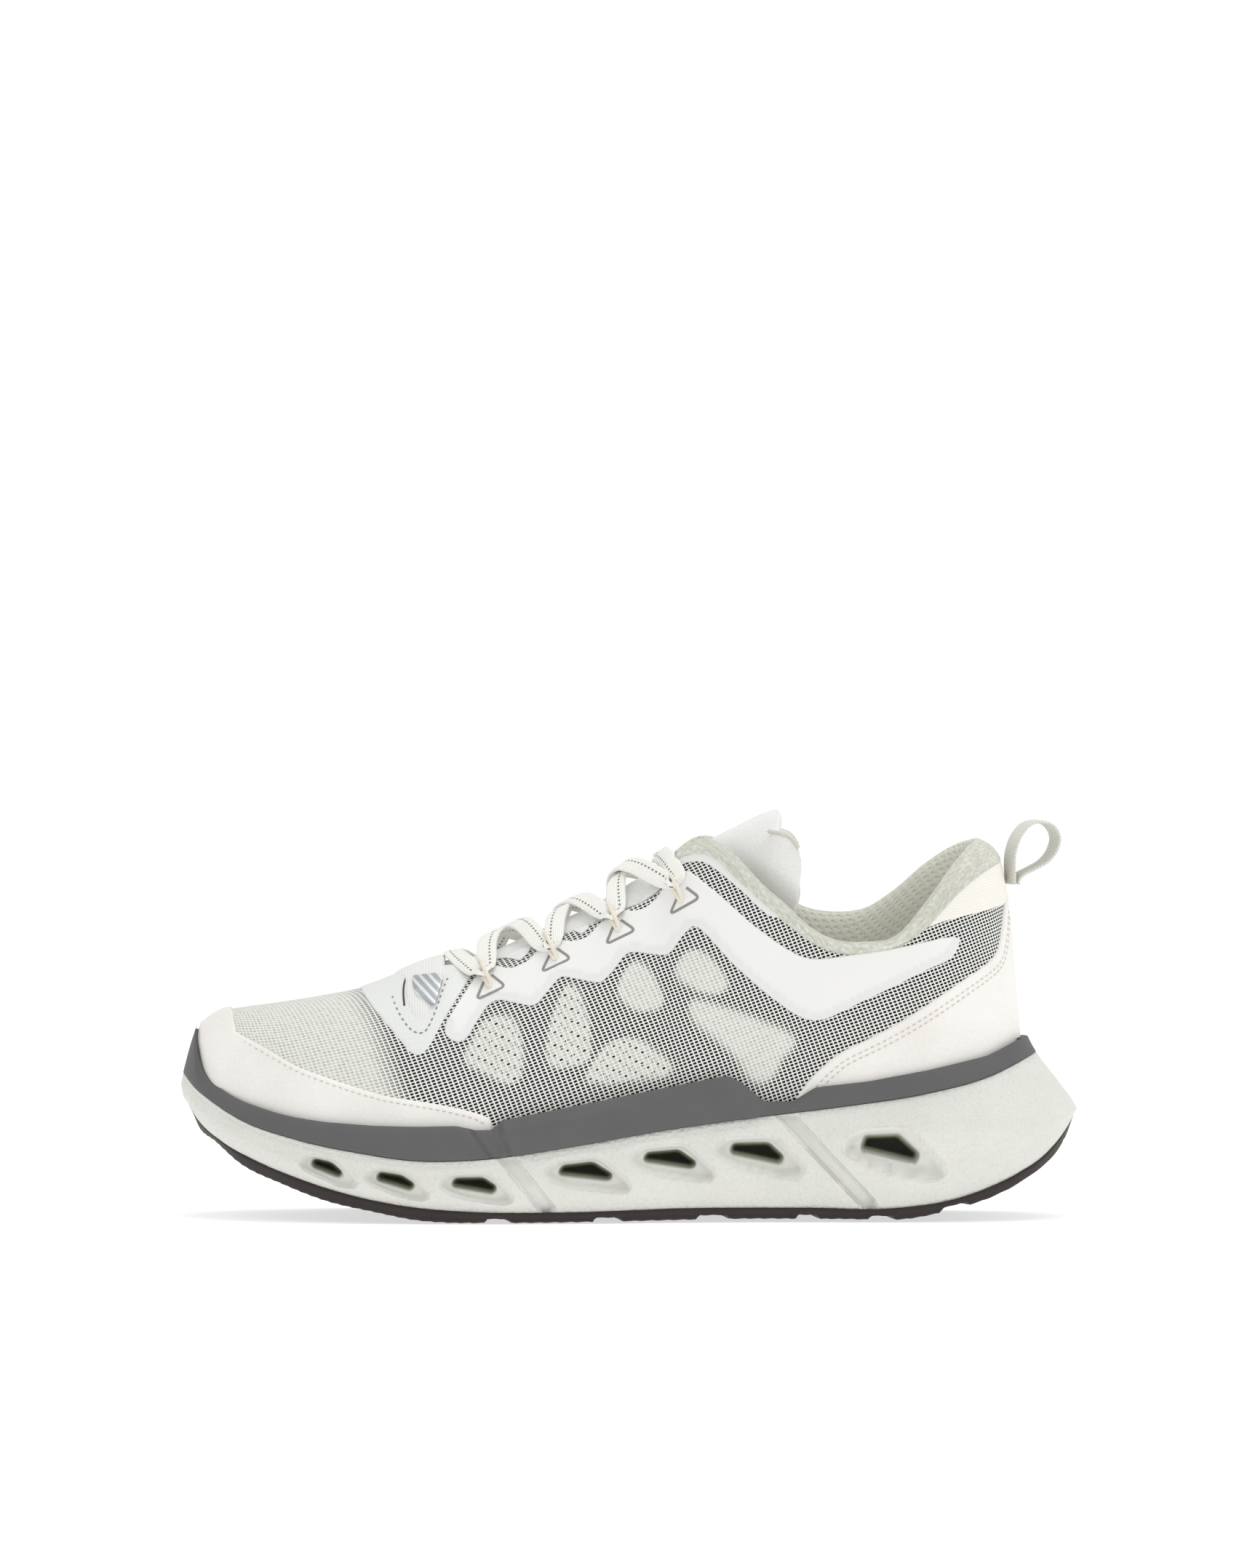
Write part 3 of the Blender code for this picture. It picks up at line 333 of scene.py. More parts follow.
# ---- meshes ----
def piece(name, points, faces, made_of, slot=None, lay=None, weld=0.0, body="root", **layers):
    """A shaded mesh object from points in millimetres, riding on a body."""
    mesh = bpy.data.meshes.new(name)
    faces = faces if isinstance(faces, list) else faces.tolist()
    mesh.from_pydata(np.asarray(points).reshape(-1, 3) * MM, [], faces)
    if lay is not None:
        full = np.zeros((len(mesh.vertices), 3), np.float32)
        full[:, : lay.shape[-1]] = lay.reshape(-1, lay.shape[-1])
        mesh.attributes.new("lay", "FLOAT_VECTOR", "POINT").data.foreach_set("vector", full.ravel())
    for key, values in layers.items():
        values = np.asarray(values, np.float32).ravel()
        mesh.attributes.new(key, "FLOAT", "POINT").data.foreach_set("value", values)
    shape = bmesh.new()
    shape.from_mesh(mesh)
    if weld:
        bmesh.ops.remove_doubles(shape, verts=shape.verts, dist=weld * MM)
        bmesh.ops.dissolve_degenerate(shape, edges=shape.edges, dist=weld * MM / 2)
    bmesh.ops.recalc_face_normals(shape, faces=shape.faces)
    shape.to_mesh(mesh)
    shape.free()
    mesh.shade_smooth()
    mesh.materials.append(made_of)
    obj = bpy.data.objects.new(name, mesh)
    bpy.context.scene.collection.objects.link(obj)
    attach(obj, body)
    return obj


def quads(rows, columns, wrap_rows=False, wrap_columns=False, start=0):
    """The faces of a grid of points stored row by row."""
    i = np.arange(rows * columns).reshape(rows, columns) + start
    if wrap_rows:
        i = np.vstack([i, i[:1]])
    if wrap_columns:
        i = np.hstack([i, i[:, :1]])
    return np.stack([i[:-1, :-1], i[:-1, 1:], i[1:, 1:], i[1:, :-1]], -1).reshape(-1, 4)


def lengths(points, axis):
    """How far each point of a grid lies along its row or column."""
    step = np.linalg.norm(np.diff(points, axis=axis), axis=-1)
    shape = list(step.shape)
    shape[axis] = 1
    return np.concatenate([np.zeros(shape), np.cumsum(step, axis=axis)], axis=axis)


def solid(obj, thickness, offset_to=-1.0):
    """Gives a sheet its thickness."""
    modifier = obj.modifiers.new("Thickness", "SOLIDIFY")
    modifier.thickness = thickness * MM
    modifier.offset = offset_to
    modifier.use_even_offset = False
    return obj


def edge_profile(distance, soft):
    """Height of a rounded edge, from 0 at the edge to 1 where the face begins."""
    return np.sqrt(1 - (1 - np.clip(distance / soft, 0, 1)) ** 2)


PANEL_RINGS = (0.06, 0.2, 0.42, 0.75, 1.2)  # rows of points inside a panel's edge
RIM_DEPTH, UNDER_DEPTH = 0.15, 0.35  # how deep in the knit a panel's rim and underside lie


def panel(name, outline, place, made_of, slot, height, soft=0.5, spacing=1.4, relief=None):
    """A sheet with rounded edges: an outline, meshed, and carried onto the form."""
    inner = [offset(outline, d) for d in PANEL_RINGS]
    fill = lattice(outline.min(0), outline.max(0), spacing)
    fill = fill[inside_distance(fill, outline) > PANEL_RINGS[-1] + 0.45 * spacing]
    flat, faces = triangulated(np.vstack([outline, *inner, fill]), [len(outline)])
    distance = np.maximum(inside_distance(flat, outline), 0)
    rise = height * edge_profile(distance, soft)
    extra = {}
    if relief:
        more, extra = relief(flat, distance)
        rise = rise + more
    rim = distance < 1e-4
    top = place(flat, RIM_DEPTH - (rise + RIM_DEPTH) * (distance > 1e-4))
    under = place(flat, np.full(len(flat), UNDER_DEPTH))
    under[rim] = top[rim]
    points = np.vstack([top, under])
    lower = faces[:, ::-1] + len(flat)
    kept = ~rim[faces].all(1)
    faces = np.vstack([faces, lower[kept]])
    lay = np.vstack([flat, flat])
    extra = {key: np.concatenate([v, v]) for key, v in extra.items()}
    extra["edge"] = np.concatenate([distance, distance])
    return piece(name, points, faces, made_of, slot, lay=lay, weld=0.002, **extra)


def tube_frames(path, up):
    """Along a path: the way up, kept square to it, and the way across."""
    ahead = unit(np.gradient(path, axis=0))
    up = unit(up - (up * ahead).sum(1, keepdims=True) * ahead)
    return up, np.cross(ahead, up)


def sweep(name, path, up, section, made_of, slot=None, scale=None, **options):
    """A closed section (across, up) carried along a path, with closed ends."""
    up, across = tube_frames(path, up)
    count = len(section)
    scale = np.ones((len(path), 2)) if scale is None else scale
    wide = section[None, :, 0] * scale[:, :1]
    tall = section[None, :, 1] * scale[:, 1:]
    rings = path[:, None] + wide[..., None] * across[:, None] + tall[..., None] * up[:, None]
    run = lengths(path[:, None], 0)
    lay = np.stack([np.repeat(run, count, 1), wide, tall], -1)
    ends = np.stack([path[0], path[-1]])
    points = np.vstack([rings.reshape(-1, 3), ends])
    total = len(path) * count
    lay = np.vstack([lay.reshape(-1, 3), [[run[0, 0], 0, 0], [run[-1, 0], 0, 0]]])
    faces = quads(len(path), count, wrap_columns=True).tolist()
    for j in range(count):
        faces.append([total, (j + 1) % count, j])
        faces.append([total + 1, total - count + j, total - count + (j + 1) % count])
    return piece(name, points, faces, made_of, slot, lay=lay, **options)


def oval(width, height, count=16, power=2.0):
    """A rounded section, boxier the higher the power."""
    angle = np.linspace(0, 2 * math.pi, count, endpoint=False)
    c, s = np.cos(angle), np.sin(angle)
    return np.stack([width / 2 * np.sign(c) * np.abs(c) ** (2 / power),
                     height / 2 * np.sign(s) * np.abs(s) ** (2 / power)], -1)


# ---- materials ----
def linear(colour):
    """Scene-linear values of an sRGB colour."""
    return tuple(c / 12.92 if c <= 0.04045 else ((c + 0.055) / 1.055) ** 2.4 for c in colour)


class Shader:
    """A Principled material and short forms for the nodes that feed it."""

    def __init__(self, name, roughness=0.8, **sockets):
        self.material = bpy.data.materials.new(name)
        self.material.use_nodes = True
        self.tree = self.material.node_tree
        self.principled = self.tree.nodes["Principled BSDF"]
        self.set("Roughness", roughness)
        for key, value in sockets.items():
            self.set(key.replace("_", " "), value)

    def set(self, socket, value):
        if isinstance(value, bpy.types.NodeSocket):
            self.tree.links.new(value, self.principled.inputs[socket])
        else:
            self.principled.inputs[socket].default_value = value

    def node(self, kind, inputs=(), **settings):
        made = self.tree.nodes.new(kind)
        for key, value in settings.items():
            setattr(made, key, value)
        for key, value in dict(inputs).items():
            if isinstance(value, bpy.types.NodeSocket):
                self.tree.links.new(value, made.inputs[key])
            else:
                made.inputs[key].default_value = value
        return made

    def math(self, operation, *values):
        return self.node("ShaderNodeMath", enumerate(values), operation=operation).outputs[0]

    def times(self, a, b):
        return self.math("MULTIPLY", a, b)

    def weigh(self, value, weight, added):
        """A value times a weight, plus another value."""
        return self.math("MULTIPLY_ADD", value, weight, added)

    def attribute(self, name, output="Fac"):
        return self.node("ShaderNodeAttribute", attribute_name=name).outputs[output]

    def mix(self, factor, a, b):
        """Between two colours, each a socket or sRGB values."""
        colours = [v if isinstance(v, bpy.types.NodeSocket) else (*linear(v), 1) for v in (a, b)]
        made = self.node("ShaderNodeMix", data_type="RGBA")
        for number, value in zip((0, 6, 7), (factor, *colours)):
            if isinstance(value, bpy.types.NodeSocket):
                self.tree.links.new(value, made.inputs[number])
            else:
                made.inputs[number].default_value = value
        return made.outputs[2]

    def step(self, value, low, high, to_low=0.0, to_high=1.0):
        """A soft step from one value to another."""
        return self.node("ShaderNodeMapRange", enumerate((value, low, high, to_low, to_high)),
                         interpolation_type="SMOOTHSTEP").outputs[0]

    def lay(self, turn=0.0, scale=(1, 1, 1)):
        """The millimetres that a piece's mesh carries, turned and scaled."""
        inputs = {"Vector": self.attribute("lay", "Vector"),
                  "Rotation": (0, 0, math.radians(turn)), "Scale": scale}
        return self.node("ShaderNodeMapping", inputs).outputs[0]

    def place(self):
        """Object coordinates in millimetres."""
        made = self.node("ShaderNodeTexCoord")
        scaled = self.node("ShaderNodeVectorMath", operation="SCALE")
        self.tree.links.new(made.outputs["Object"], scaled.inputs[0])
        scaled.inputs[3].default_value = 1000
        return scaled.outputs[0]

    def noise(self, size, vector=None, detail=2.0):
        """Noise whose blobs are about this many millimetres across."""
        inputs = {"Vector": vector or self.place(), "Scale": 1 / size, "Detail": detail}
        return self.node("ShaderNodeTexNoise", inputs).outputs["Fac"]

    def cells(self, size, vector=None, feature="F1"):
        """Distance from the nearest cell's middle, for cells about this many millimetres wide."""
        inputs = {"Vector": vector or self.place(), "Scale": 1 / size}
        return self.node("ShaderNodeTexVoronoi", inputs, feature=feature).outputs["Distance"]

    def split(self, vector):
        return self.node("ShaderNodeSeparateXYZ", [(0, vector)]).outputs

    def bump(self, height, depth, strength=1.0):
        """Relief: a height from 0 to 1 stands this many millimetres proud."""
        made = self.node("ShaderNodeBump", [("Height", height), ("Distance", depth * MM),
                                            ("Strength", strength)])
        self.set("Normal", made.outputs[0])

    def surface(self, colour, fine, gloss, relief, depth, strength):
        """Sets the colour, a roughness that wanders with the fine noise, and the relief."""
        self.set("Base Color", colour)
        self.set("Roughness", self.step(fine, 0.2, 0.8, *gloss))
        self.bump(relief, depth, strength)
        return self.material

    def wave(self, value, pitch):
        """A ridge every pitch millimetres, from 0 in the valleys to 1 on the crests."""
        turned = self.times(value, 2 * math.pi / pitch)
        return self.weigh(self.math("COSINE", turned), 0.5, 0.5)


def in_cell(shader, value, pitch):
    """Distance from the middle of the cell that a value falls in, in millimetres."""
    share = shader.math("FRACT", shader.math("DIVIDE", value, pitch))
    return shader.times(shader.math("ABSOLUTE", shader.math("SUBTRACT", share, 0.5)), pitch)


ROW_RISE, COLUMN_FALL = 0.0, -71.0  # degrees: the two directions of the open knit
SLOT_PITCH, ROW_PITCH = 1.6, 1.15  # of its slots
SLOT_HALF = (0.6, 0.39)  # half the length and half the width of a slot


def weave_axes(shader, vector, wobble=0.12):
    """Coordinates along the rows and across them, in slots and rows of the open knit."""
    row = math.radians(ROW_RISE)
    column = math.radians(COLUMN_FALL)
    run = np.array([math.cos(row), math.sin(row)]) * SLOT_PITCH
    fall = np.array([math.cos(column), math.sin(column)]) * ROW_PITCH / math.sin(row - column)
    inverse = np.linalg.inv(np.stack([run, fall], 1))
    moved = shader.noise(9.0, vector, 1.0)
    out = []
    for k in range(2):
        made = shader.node("ShaderNodeVectorMath", [(0, vector), (1, (*inverse[k], 0))],
                           operation="DOT_PRODUCT")
        out.append(shader.weigh(moved, wobble * (1 + k), made.outputs["Value"]))
    return out


def slots(shader, axes, sharpness=0.28):
    """1 in the slots of the open knit, 0 on its threads."""
    along, over = [shader.math("SUBTRACT", shader.math("FRACT", value), 0.5) for value in axes]
    near = []
    for value, pitch, half in zip((along, over), (SLOT_PITCH, ROW_PITCH), SLOT_HALF):
        share = shader.times(shader.math("ABSOLUTE", value), pitch / half)
        near.append(shader.math("POWER", share, 3.0))
    return shader.step(shader.math("ADD", *near), 1 + sharpness, 1 - sharpness)


def knit():
    """White open knit: its slots show near black painted shade, or the white patches behind it."""
    shader = Shader("open_knit", 0.85, Specular_IOR_Level=0.25, Sheen_Weight=0.15)
    lay = shader.lay()
    axes = weave_axes(shader, lay)
    hole = slots(shader, axes)
    cell = shader.node("ShaderNodeCombineXYZ",
                       enumerate(shader.math("FLOOR", value) for value in axes))
    luck = shader.node("ShaderNodeTexWhiteNoise", {"Vector": cell.outputs[0]}).outputs["Value"]
    u, v, _ = shader.split(lay)
    off_dot = [shader.math("POWER", in_cell(shader, shader.math(way, u, v), 4.0), 2.0)
               for way in ("ADD", "SUBTRACT")]
    dots = shader.step(shader.math("ADD", *off_dot), 1.1, 0.5)
    punched = shader.times(dots, shader.attribute("punched"))
    backing = shader.times(shader.attribute("backing"), shader.math("SUBTRACT", 1, punched))
    # Painted shade: slots and punched dots go near black, for the dark inside of the shoe.
    dark = shader.mix(luck, (0.02, 0.02, 0.02), (0.08, 0.08, 0.08))
    pale = shader.mix(luck, (0.74, 0.735, 0.70), (0.83, 0.825, 0.79))
    behind = shader.mix(backing, dark, pale)
    fibre = shader.noise(0.35, lay, 3.0)
    thread = shader.mix(fibre, (0.88, 0.88, 0.86), (0.965, 0.965, 0.95))
    relief = shader.weigh(fibre, 0.12, shader.math("SUBTRACT", 1, hole))
    return shader.surface(shader.mix(hole, thread, behind), fibre, (0.75, 0.95), relief, 0.22, 0.7)


def leather():
    """Smooth off-white leather with a fine grain."""
    shader = Shader("off_white_leather", 0.5, Specular_IOR_Level=0.35, Coat_Weight=0.06,
                    Coat_Roughness=0.4)
    cells = shader.cells(1.1)
    fine = shader.noise(0.5, None, 4.0)
    broad = shader.noise(22.0, None, 2.0)
    tone = shader.weigh(cells, 0.25, shader.times(broad, 0.8))
    colour = shader.mix(shader.step(tone, 0.2, 0.8), (0.915, 0.903, 0.882), (0.95, 0.94, 0.922))
    return shader.surface(colour, fine, (0.46, 0.62), shader.weigh(fine, 0.5, cells), 0.07, 0.6)


def film(name, colour, rim, show=0.35):
    """Thin welded film: the knit under it shows faintly, and its pressed border is bluish."""
    shader = Shader(name, 0.42, Specular_IOR_Level=0.4)
    lay = shader.lay()
    hole = slots(shader, weave_axes(shader, lay), 0.5)
    broad = shader.noise(14.0, None, 2.0)
    fine = shader.noise(0.4, None, 3.0)
    pressed = shader.attribute("border")
    toned = shader.mix(shader.times(hole, show * 0.22), colour, (0.72, 0.76, 0.76))
    toned = shader.mix(shader.times(pressed, 0.9), toned, rim)
    shade = shader.mix(shader.times(broad, 0.16), toned, (0.84, 0.87, 0.87))
    relief = shader.weigh(fine, 0.3, shader.times(hole, -show))
    return shader.surface(shade, fine, (0.36, 0.5), relief, 0.05, 0.7)


def foam():
    """Pebbled midsole foam, smooth in its scoops; its windows olive, near black deeper in as
    painted shade.
    """
    shader = Shader("moulded_foam", 0.7, Specular_IOR_Level=0.3, Subsurface_Weight=0.06,
                    Subsurface_Scale=0.002)
    scoop, window_olive_and_shade = shader.attribute("scoop"), shader.attribute("window_olive_and_shade")
    pebbles = shader.cells(1.15, None, "SMOOTH_F1")
    fine = shader.noise(0.55, None, 3.0)
    broad = shader.noise(16.0, None, 2.0)
    body = shader.mix(broad, (0.86, 0.86, 0.835), (0.90, 0.90, 0.878))
    body = shader.mix(shader.times(pebbles, 0.30), body, (0.80, 0.80, 0.765))
    # Painted shade: deeper into a window the olive darkens to near black.
    deep = shader.mix(shader.step(window_olive_and_shade, 0.5, 1.0), (0.52, 0.55, 0.42), (0.10, 0.11, 0.07))
    smoothed = shader.step(scoop, 0.5, 0.0, 0.08, 1.0)
    grain = shader.times(shader.weigh(fine, 0.5, pebbles), smoothed)
    colour = shader.mix(shader.step(window_olive_and_shade, 0.12, 0.75), body, deep)
    return shader.surface(colour, fine, (0.6, 0.78), grain, 0.5, 0.9)


def grained(name, light, dark, roughness, size, depth, sheen=0.0, specular=0.3):
    """A plain moulded or coated surface: two tones, a fine grain, uneven gloss."""
    shader = Shader(name, roughness, Specular_IOR_Level=specular, Sheen_Weight=sheen)
    fine = shader.noise(size, None, 4.0)
    broad = shader.noise(size * 22, None, 2.0)
    tone = shader.weigh(fine, 0.5, shader.times(broad, 0.5))
    return shader.surface(shader.mix(tone, dark, light), fine, (roughness - 0.08, roughness + 0.08),
                          fine, depth, 0.6)


def ribbed(name, light, dark, pitch, across=True, depth=0.12, roughness=0.85, turn=0.0, sheen=0.1,
           painted_glow=0.0):
    """A ribbed or twilled textile: threads side by side, with fibres along them, and a glow that is
    painted light.
    """
    shader = Shader(name, roughness, Specular_IOR_Level=0.25, Sheen_Weight=sheen)
    lay = shader.lay(turn)
    u, v, _ = shader.split(lay)
    along, over = (u, v) if across else (v, u)
    wander = shader.weigh(shader.noise(3.0, lay, 2.0), pitch * 0.8, over)
    rib = shader.wave(wander, pitch)
    twist = shader.wave(shader.weigh(over, 0.8, along), pitch * 0.9)
    fibre = shader.noise(0.3, lay, 3.0)
    tone = shader.math("ADD", shader.times(rib, 0.5),
                       shader.weigh(twist, 0.2, shader.times(fibre, 0.5)))
    cloth = shader.mix(shader.step(tone, 0.1, 1.0), dark, light)
    # Painted light: the cloth can glow in its own colour, to lift its shade.
    shader.set("Emission Color", cloth)
    shader.set("Emission Strength", painted_glow)
    return shader.surface(cloth, fibre, (roughness - 0.08, roughness + 0.08), tone, depth, 0.8)


COLLAR_PAINTED_GLOW = 0.22  # painted light: how strongly the collar's lining glows, to lift its shade


def collar_knit():
    """Spacer knit: soft raised stitches in offset rows, painted shade in the dimples, a painted
    glow inside.
    """
    shader = Shader("collar_spacer_knit", 0.9, Specular_IOR_Level=0.2, Sheen_Weight=0.25)
    lay = shader.lay()
    u, v, _ = shader.split(lay)
    row = shader.math("DIVIDE", v, 2.1)
    odd = shader.times(shader.math("FLOORED_MODULO", shader.math("FLOOR", row), 2.0), 1.55)
    shifted = shader.math("ADD", u, shader.weigh(shader.math("FRACT", row), 0.5, odd))
    side = in_cell(shader, shifted, 3.1)
    up = in_cell(shader, v, 2.1)
    dimple = shader.times(shader.step(side, 0.95, 1.5), shader.step(up, 0.25, 0.95))
    fibre = shader.noise(0.28, shader.lay(0, (0.5, 1.4, 1)), 3.0)
    crown = shader.math("SUBTRACT", shader.step(side, 1.5, 0.2), shader.times(up, 0.35))
    inside = shader.attribute("inside")
    hollow = shader.times(dimple, inside)
    tufts = shader.cells(1.0, shader.lay(18, (0.7, 1.25, 1)), "SMOOTH_F1")
    tuft = shader.times(shader.step(tufts, 0.75, 0.1), shader.step(inside, 1.0, 0.0))
    tone = shader.weigh(tuft, 0.6, shader.times(fibre, 0.55))
    cloth = shader.mix(tone, (0.74, 0.742, 0.685), (0.90, 0.90, 0.86))
    # Painted shade: the dimples inside the collar are darkened towards an olive grey.
    shown = shader.mix(shader.times(hollow, 0.5), cloth, (0.66, 0.67, 0.59))
    shader.set("Base Color", shown)
    # Painted light: inside the collar the cloth glows in its own colour.
    shader.set("Emission Color", shown)
    shader.set("Emission Strength", shader.times(inside, COLLAR_PAINTED_GLOW))
    crowned = shader.step(inside, 0.0, 1.0, 0.25, 0.8)
    relief = shader.weigh(crown, crowned, shader.times(fibre, 0.5))
    raised = shader.weigh(tuft, 1.1, shader.math("SUBTRACT", relief, hollow))
    shader.bump(raised, 0.45, 0.85)
    return shader.material


def lace_weave():
    """Flat braid: fine ribs along it and one row of grey dashes."""
    shader = Shader("lace_braid", 0.85, Specular_IOR_Level=0.25, Sheen_Weight=0.2)
    along, across, _ = shader.split(shader.lay())
    rib = shader.wave(across, 0.75)
    stitch = shader.wave(shader.weigh(rib, 0.4, along), 0.9)
    fibre = shader.noise(0.3, shader.lay(), 3.0)
    row = shader.step(shader.math("ABSOLUTE", shader.math("SUBTRACT", across, 1.1)), 0.42, 0.26)
    dash = shader.step(in_cell(shader, along, 1.9), 0.52, 0.4)
    mark = shader.times(shader.times(row, dash), 0.92)
    cloth = shader.mix(shader.weigh(rib, 0.5, shader.times(fibre, 0.5)),
                       (0.93, 0.925, 0.895), (0.985, 0.983, 0.965))
    shader.set("Base Color", shader.mix(mark, cloth, (0.40, 0.40, 0.41)))
    shader.bump(shader.weigh(stitch, 0.35, rib), 0.16, 0.8)
    return shader.material


def tread_rubber():
    """Dark rubber with faint ridges that run along the sole."""
    shader = Shader("tread_rubber", 0.6, Specular_IOR_Level=0.35)
    _, y, z = shader.split(shader.place())
    ridges = shader.wave(shader.math("ADD", z, shader.times(y, 0.5)), 1.3)
    fine = shader.noise(0.5, None, 4.0)
    worn = shader.noise(18.0, None, 2.0)
    tone = shader.weigh(worn, 0.6, shader.times(fine, 0.4))
    return shader.surface(shader.mix(tone, (0.135, 0.115, 0.11), (0.225, 0.19, 0.18)), fine,
                          (0.5, 0.72), shader.weigh(fine, 0.3, ridges), 0.12, 0.5)


def reflective():
    """Grey reflective tape with a diagonal print."""
    shader = Shader("reflective_grey", 0.35, Metallic=0.4, Specular_IOR_Level=0.5)
    u, v, _ = shader.split(shader.lay())
    stripe = shader.step(in_cell(shader, shader.math("ADD", u, v), 3.4), 0.55, 0.85)
    beads = shader.cells(0.5, shader.lay())
    grey = shader.mix(beads, (0.60, 0.62, 0.63), (0.70, 0.72, 0.73))
    shader.set("Base Color", shader.mix(stripe, (0.88, 0.89, 0.89), grey))
    shader.bump(beads, 0.05, 0.5)
    return shader.material


# grained: light and dark tone, roughness, grain size and depth, sheen, specular
# ribbed: light and dark tone, pitch, ribs along the piece or not, depth, roughness, turn in degrees
KNIT = knit()
LEATHER = leather()
CAGE_FILM = film("cage_white_film", (0.935, 0.93, 0.92), (0.88, 0.885, 0.875), 0.05)
PALE_FILM = film("pale_film", (0.905, 0.91, 0.895), (0.86, 0.872, 0.858), 0.4)
FOAM = foam()
GREY_BAND = grained("grey_moulded_band", (0.395, 0.395, 0.395), (0.345, 0.345, 0.345), 0.62, 0.5,
                    0.05)
RUBBER = tread_rubber()
COLLAR = collar_knit()
TWILL = ribbed("heel_twill", (0.965, 0.955, 0.925), (0.91, 0.895, 0.86), 0.85, True, 0.1, 0.8, -9.0)
# Painted light: the tongue's cloth glows a little, to lift its shade.
TONGUE_CLOTH = ribbed("tongue_knit", (0.935, 0.933, 0.925), (0.87, 0.868, 0.86), 0.7, True, 0.22,
                      0.9, painted_glow=0.09)
GUSSET = ribbed("gusset_cloth", (0.94, 0.94, 0.93), (0.86, 0.86, 0.85), 0.9, False, 0.12, 0.9)
LACE = lace_weave()
CORD = ribbed("keeper_cord", (0.95, 0.925, 0.87), (0.87, 0.84, 0.77), 0.55, False, 0.1, 0.75)
WEBBING = ribbed("loop_webbing", (0.90, 0.895, 0.87), (0.79, 0.79, 0.75), 0.9, False, 0.2, 0.8,
                 35.0)
# Thread tone, darkened as painted shade of the dents the stitches sit in.
THREAD_WITH_SHADE = grained("stitch_thread_shaded", (0.86, 0.84, 0.81), (0.74, 0.71, 0.67), 0.8, 0.25, 0.05, 0.2)
GREY_THREAD = grained("grey_thread", (0.58, 0.59, 0.59), (0.47, 0.48, 0.48), 0.6, 0.25, 0.05, 0.2)
# Painted shadow: dark, for the bead along the throat's edge.
PAINTED_EDGE_SHADOW = grained("painted_edge_shadow", (0.33, 0.33, 0.34), (0.24, 0.24, 0.25), 0.75, 0.4, 0.04)
AGLET = grained("aglet_film", (0.90, 0.89, 0.86), (0.82, 0.81, 0.78), 0.3, 0.6, 0.02, 0.0, 0.5)
GREY_PRINT = grained("grey_print", (0.60, 0.59, 0.58), (0.52, 0.51, 0.50), 0.55, 0.4, 0.03)
REFLECTIVE = reflective()
HEM = ribbed("hem_tape", (0.86, 0.85, 0.81), (0.77, 0.76, 0.72), 0.9, False, 0.15)
SOCK = ribbed("sock_liner_cloth", (0.80, 0.82, 0.79), (0.70, 0.72, 0.69), 1.3, True, 0.15, 0.9,
              45.0)


# ---- sole unit ----
SOLE_FRONT, SOLE_REAR = -150, 150.2
SOLE_KEYS = {  # level: front, rear, inset, and how much of the bottom, flare and top heights
    0.0: (-147.4, 149.4, 4.2, 1, 0, 0),
    0.25: (-149.0, 150.0, 1.6, 0.6, 0.4, 0),
    0.5: (-150.0, 150.2, 0.0, 0, 1, 0),
    0.75: (-149.8, 144.6, 0.9, 0, 0.5, 0.5),
    1.0: (-149.3, 136.8, 2.2, 0, 0, 1),
}
WALL_TALL = 24.0  # how tall the wall is taken to be when its points are spread
CREASE = 3.2  # how far the flare stands out round the heel
WINDOWS = [  # corners of each midsole window: top left, top peak, right, bottom right, bottom left
    [(-104.8, 21), (-98.5, 19.8), (-94.6, 16.4), (-96, 14.8), (-105.2, 18.4)],
    [(-82.8, 16.8), (-75, 15.7), (-70.6, 12.8), (-72, 10.8), (-83.6, 14.2)],
    [(-57.8, 14.8), (-48, 15.1), (-43.4, 12), (-44.6, 9.8), (-58.5, 12.2)],
    [(-22, 18.9), (-11.5, 20), (-5, 15.8), (-6.2, 14), (-23.2, 16)],
    [(6, 22.9), (17, 23.8), (22.9, 19.6), (21.5, 17.7), (5.1, 20.2)],
    [(34.8, 25.7), (47, 26), (52, 21.3), (50.5, 19.2), (34.1, 22.7)],
    [(79, 28.2), (90, 28.7), (96.9, 22.2), (95.5, 19.9), (77.8, 24.2)],
]
CHANNELS = [[(-42, 24), (-27, 5)], [(51, 37), (80.5, 5.4)]]  # middle lines of the diagonal grooves
CHANNEL_WIDE, CHANNEL_DEEP = 4.2, 2.3
SCOOP_DEEP, WINDOW_DEEP = 5.2, 9  # the hollow round a window, and the window in it


def sole_key(part):
    levels = sorted(SOLE_KEYS)
    return smooth([(level, SOLE_KEYS[level][part]) for level in levels])


wall_front, wall_rear, wall_inset = sole_key(0), sole_key(1), sole_key(2)


def wall_heights(x):
    """Heights of the key levels at x, along a new last axis."""
    parts = np.stack([midsole_bottom(x), flare(x), midsole_top(x)], -1)
    mixed = np.array([SOLE_KEYS[level][3:] for level in sorted(SOLE_KEYS)])
    return parts @ mixed.T


def wall_height(x, level):
    keys = wall_heights(x)
    at = np.clip(level, 0, 1) * 4
    i = np.minimum(at.astype(int), 3)
    low = np.take_along_axis(keys, i[..., None], -1)[..., 0]
    high = np.take_along_axis(keys, i[..., None] + 1, -1)[..., 0]
    return low + (high - low) * (at - i)


SOLE_SHARE, SOLE_ARC = ring_length(lambda x: sole_half(x) * closing(x, SOLE_FRONT, SOLE_REAR),
                                   SOLE_FRONT, SOLE_REAR)


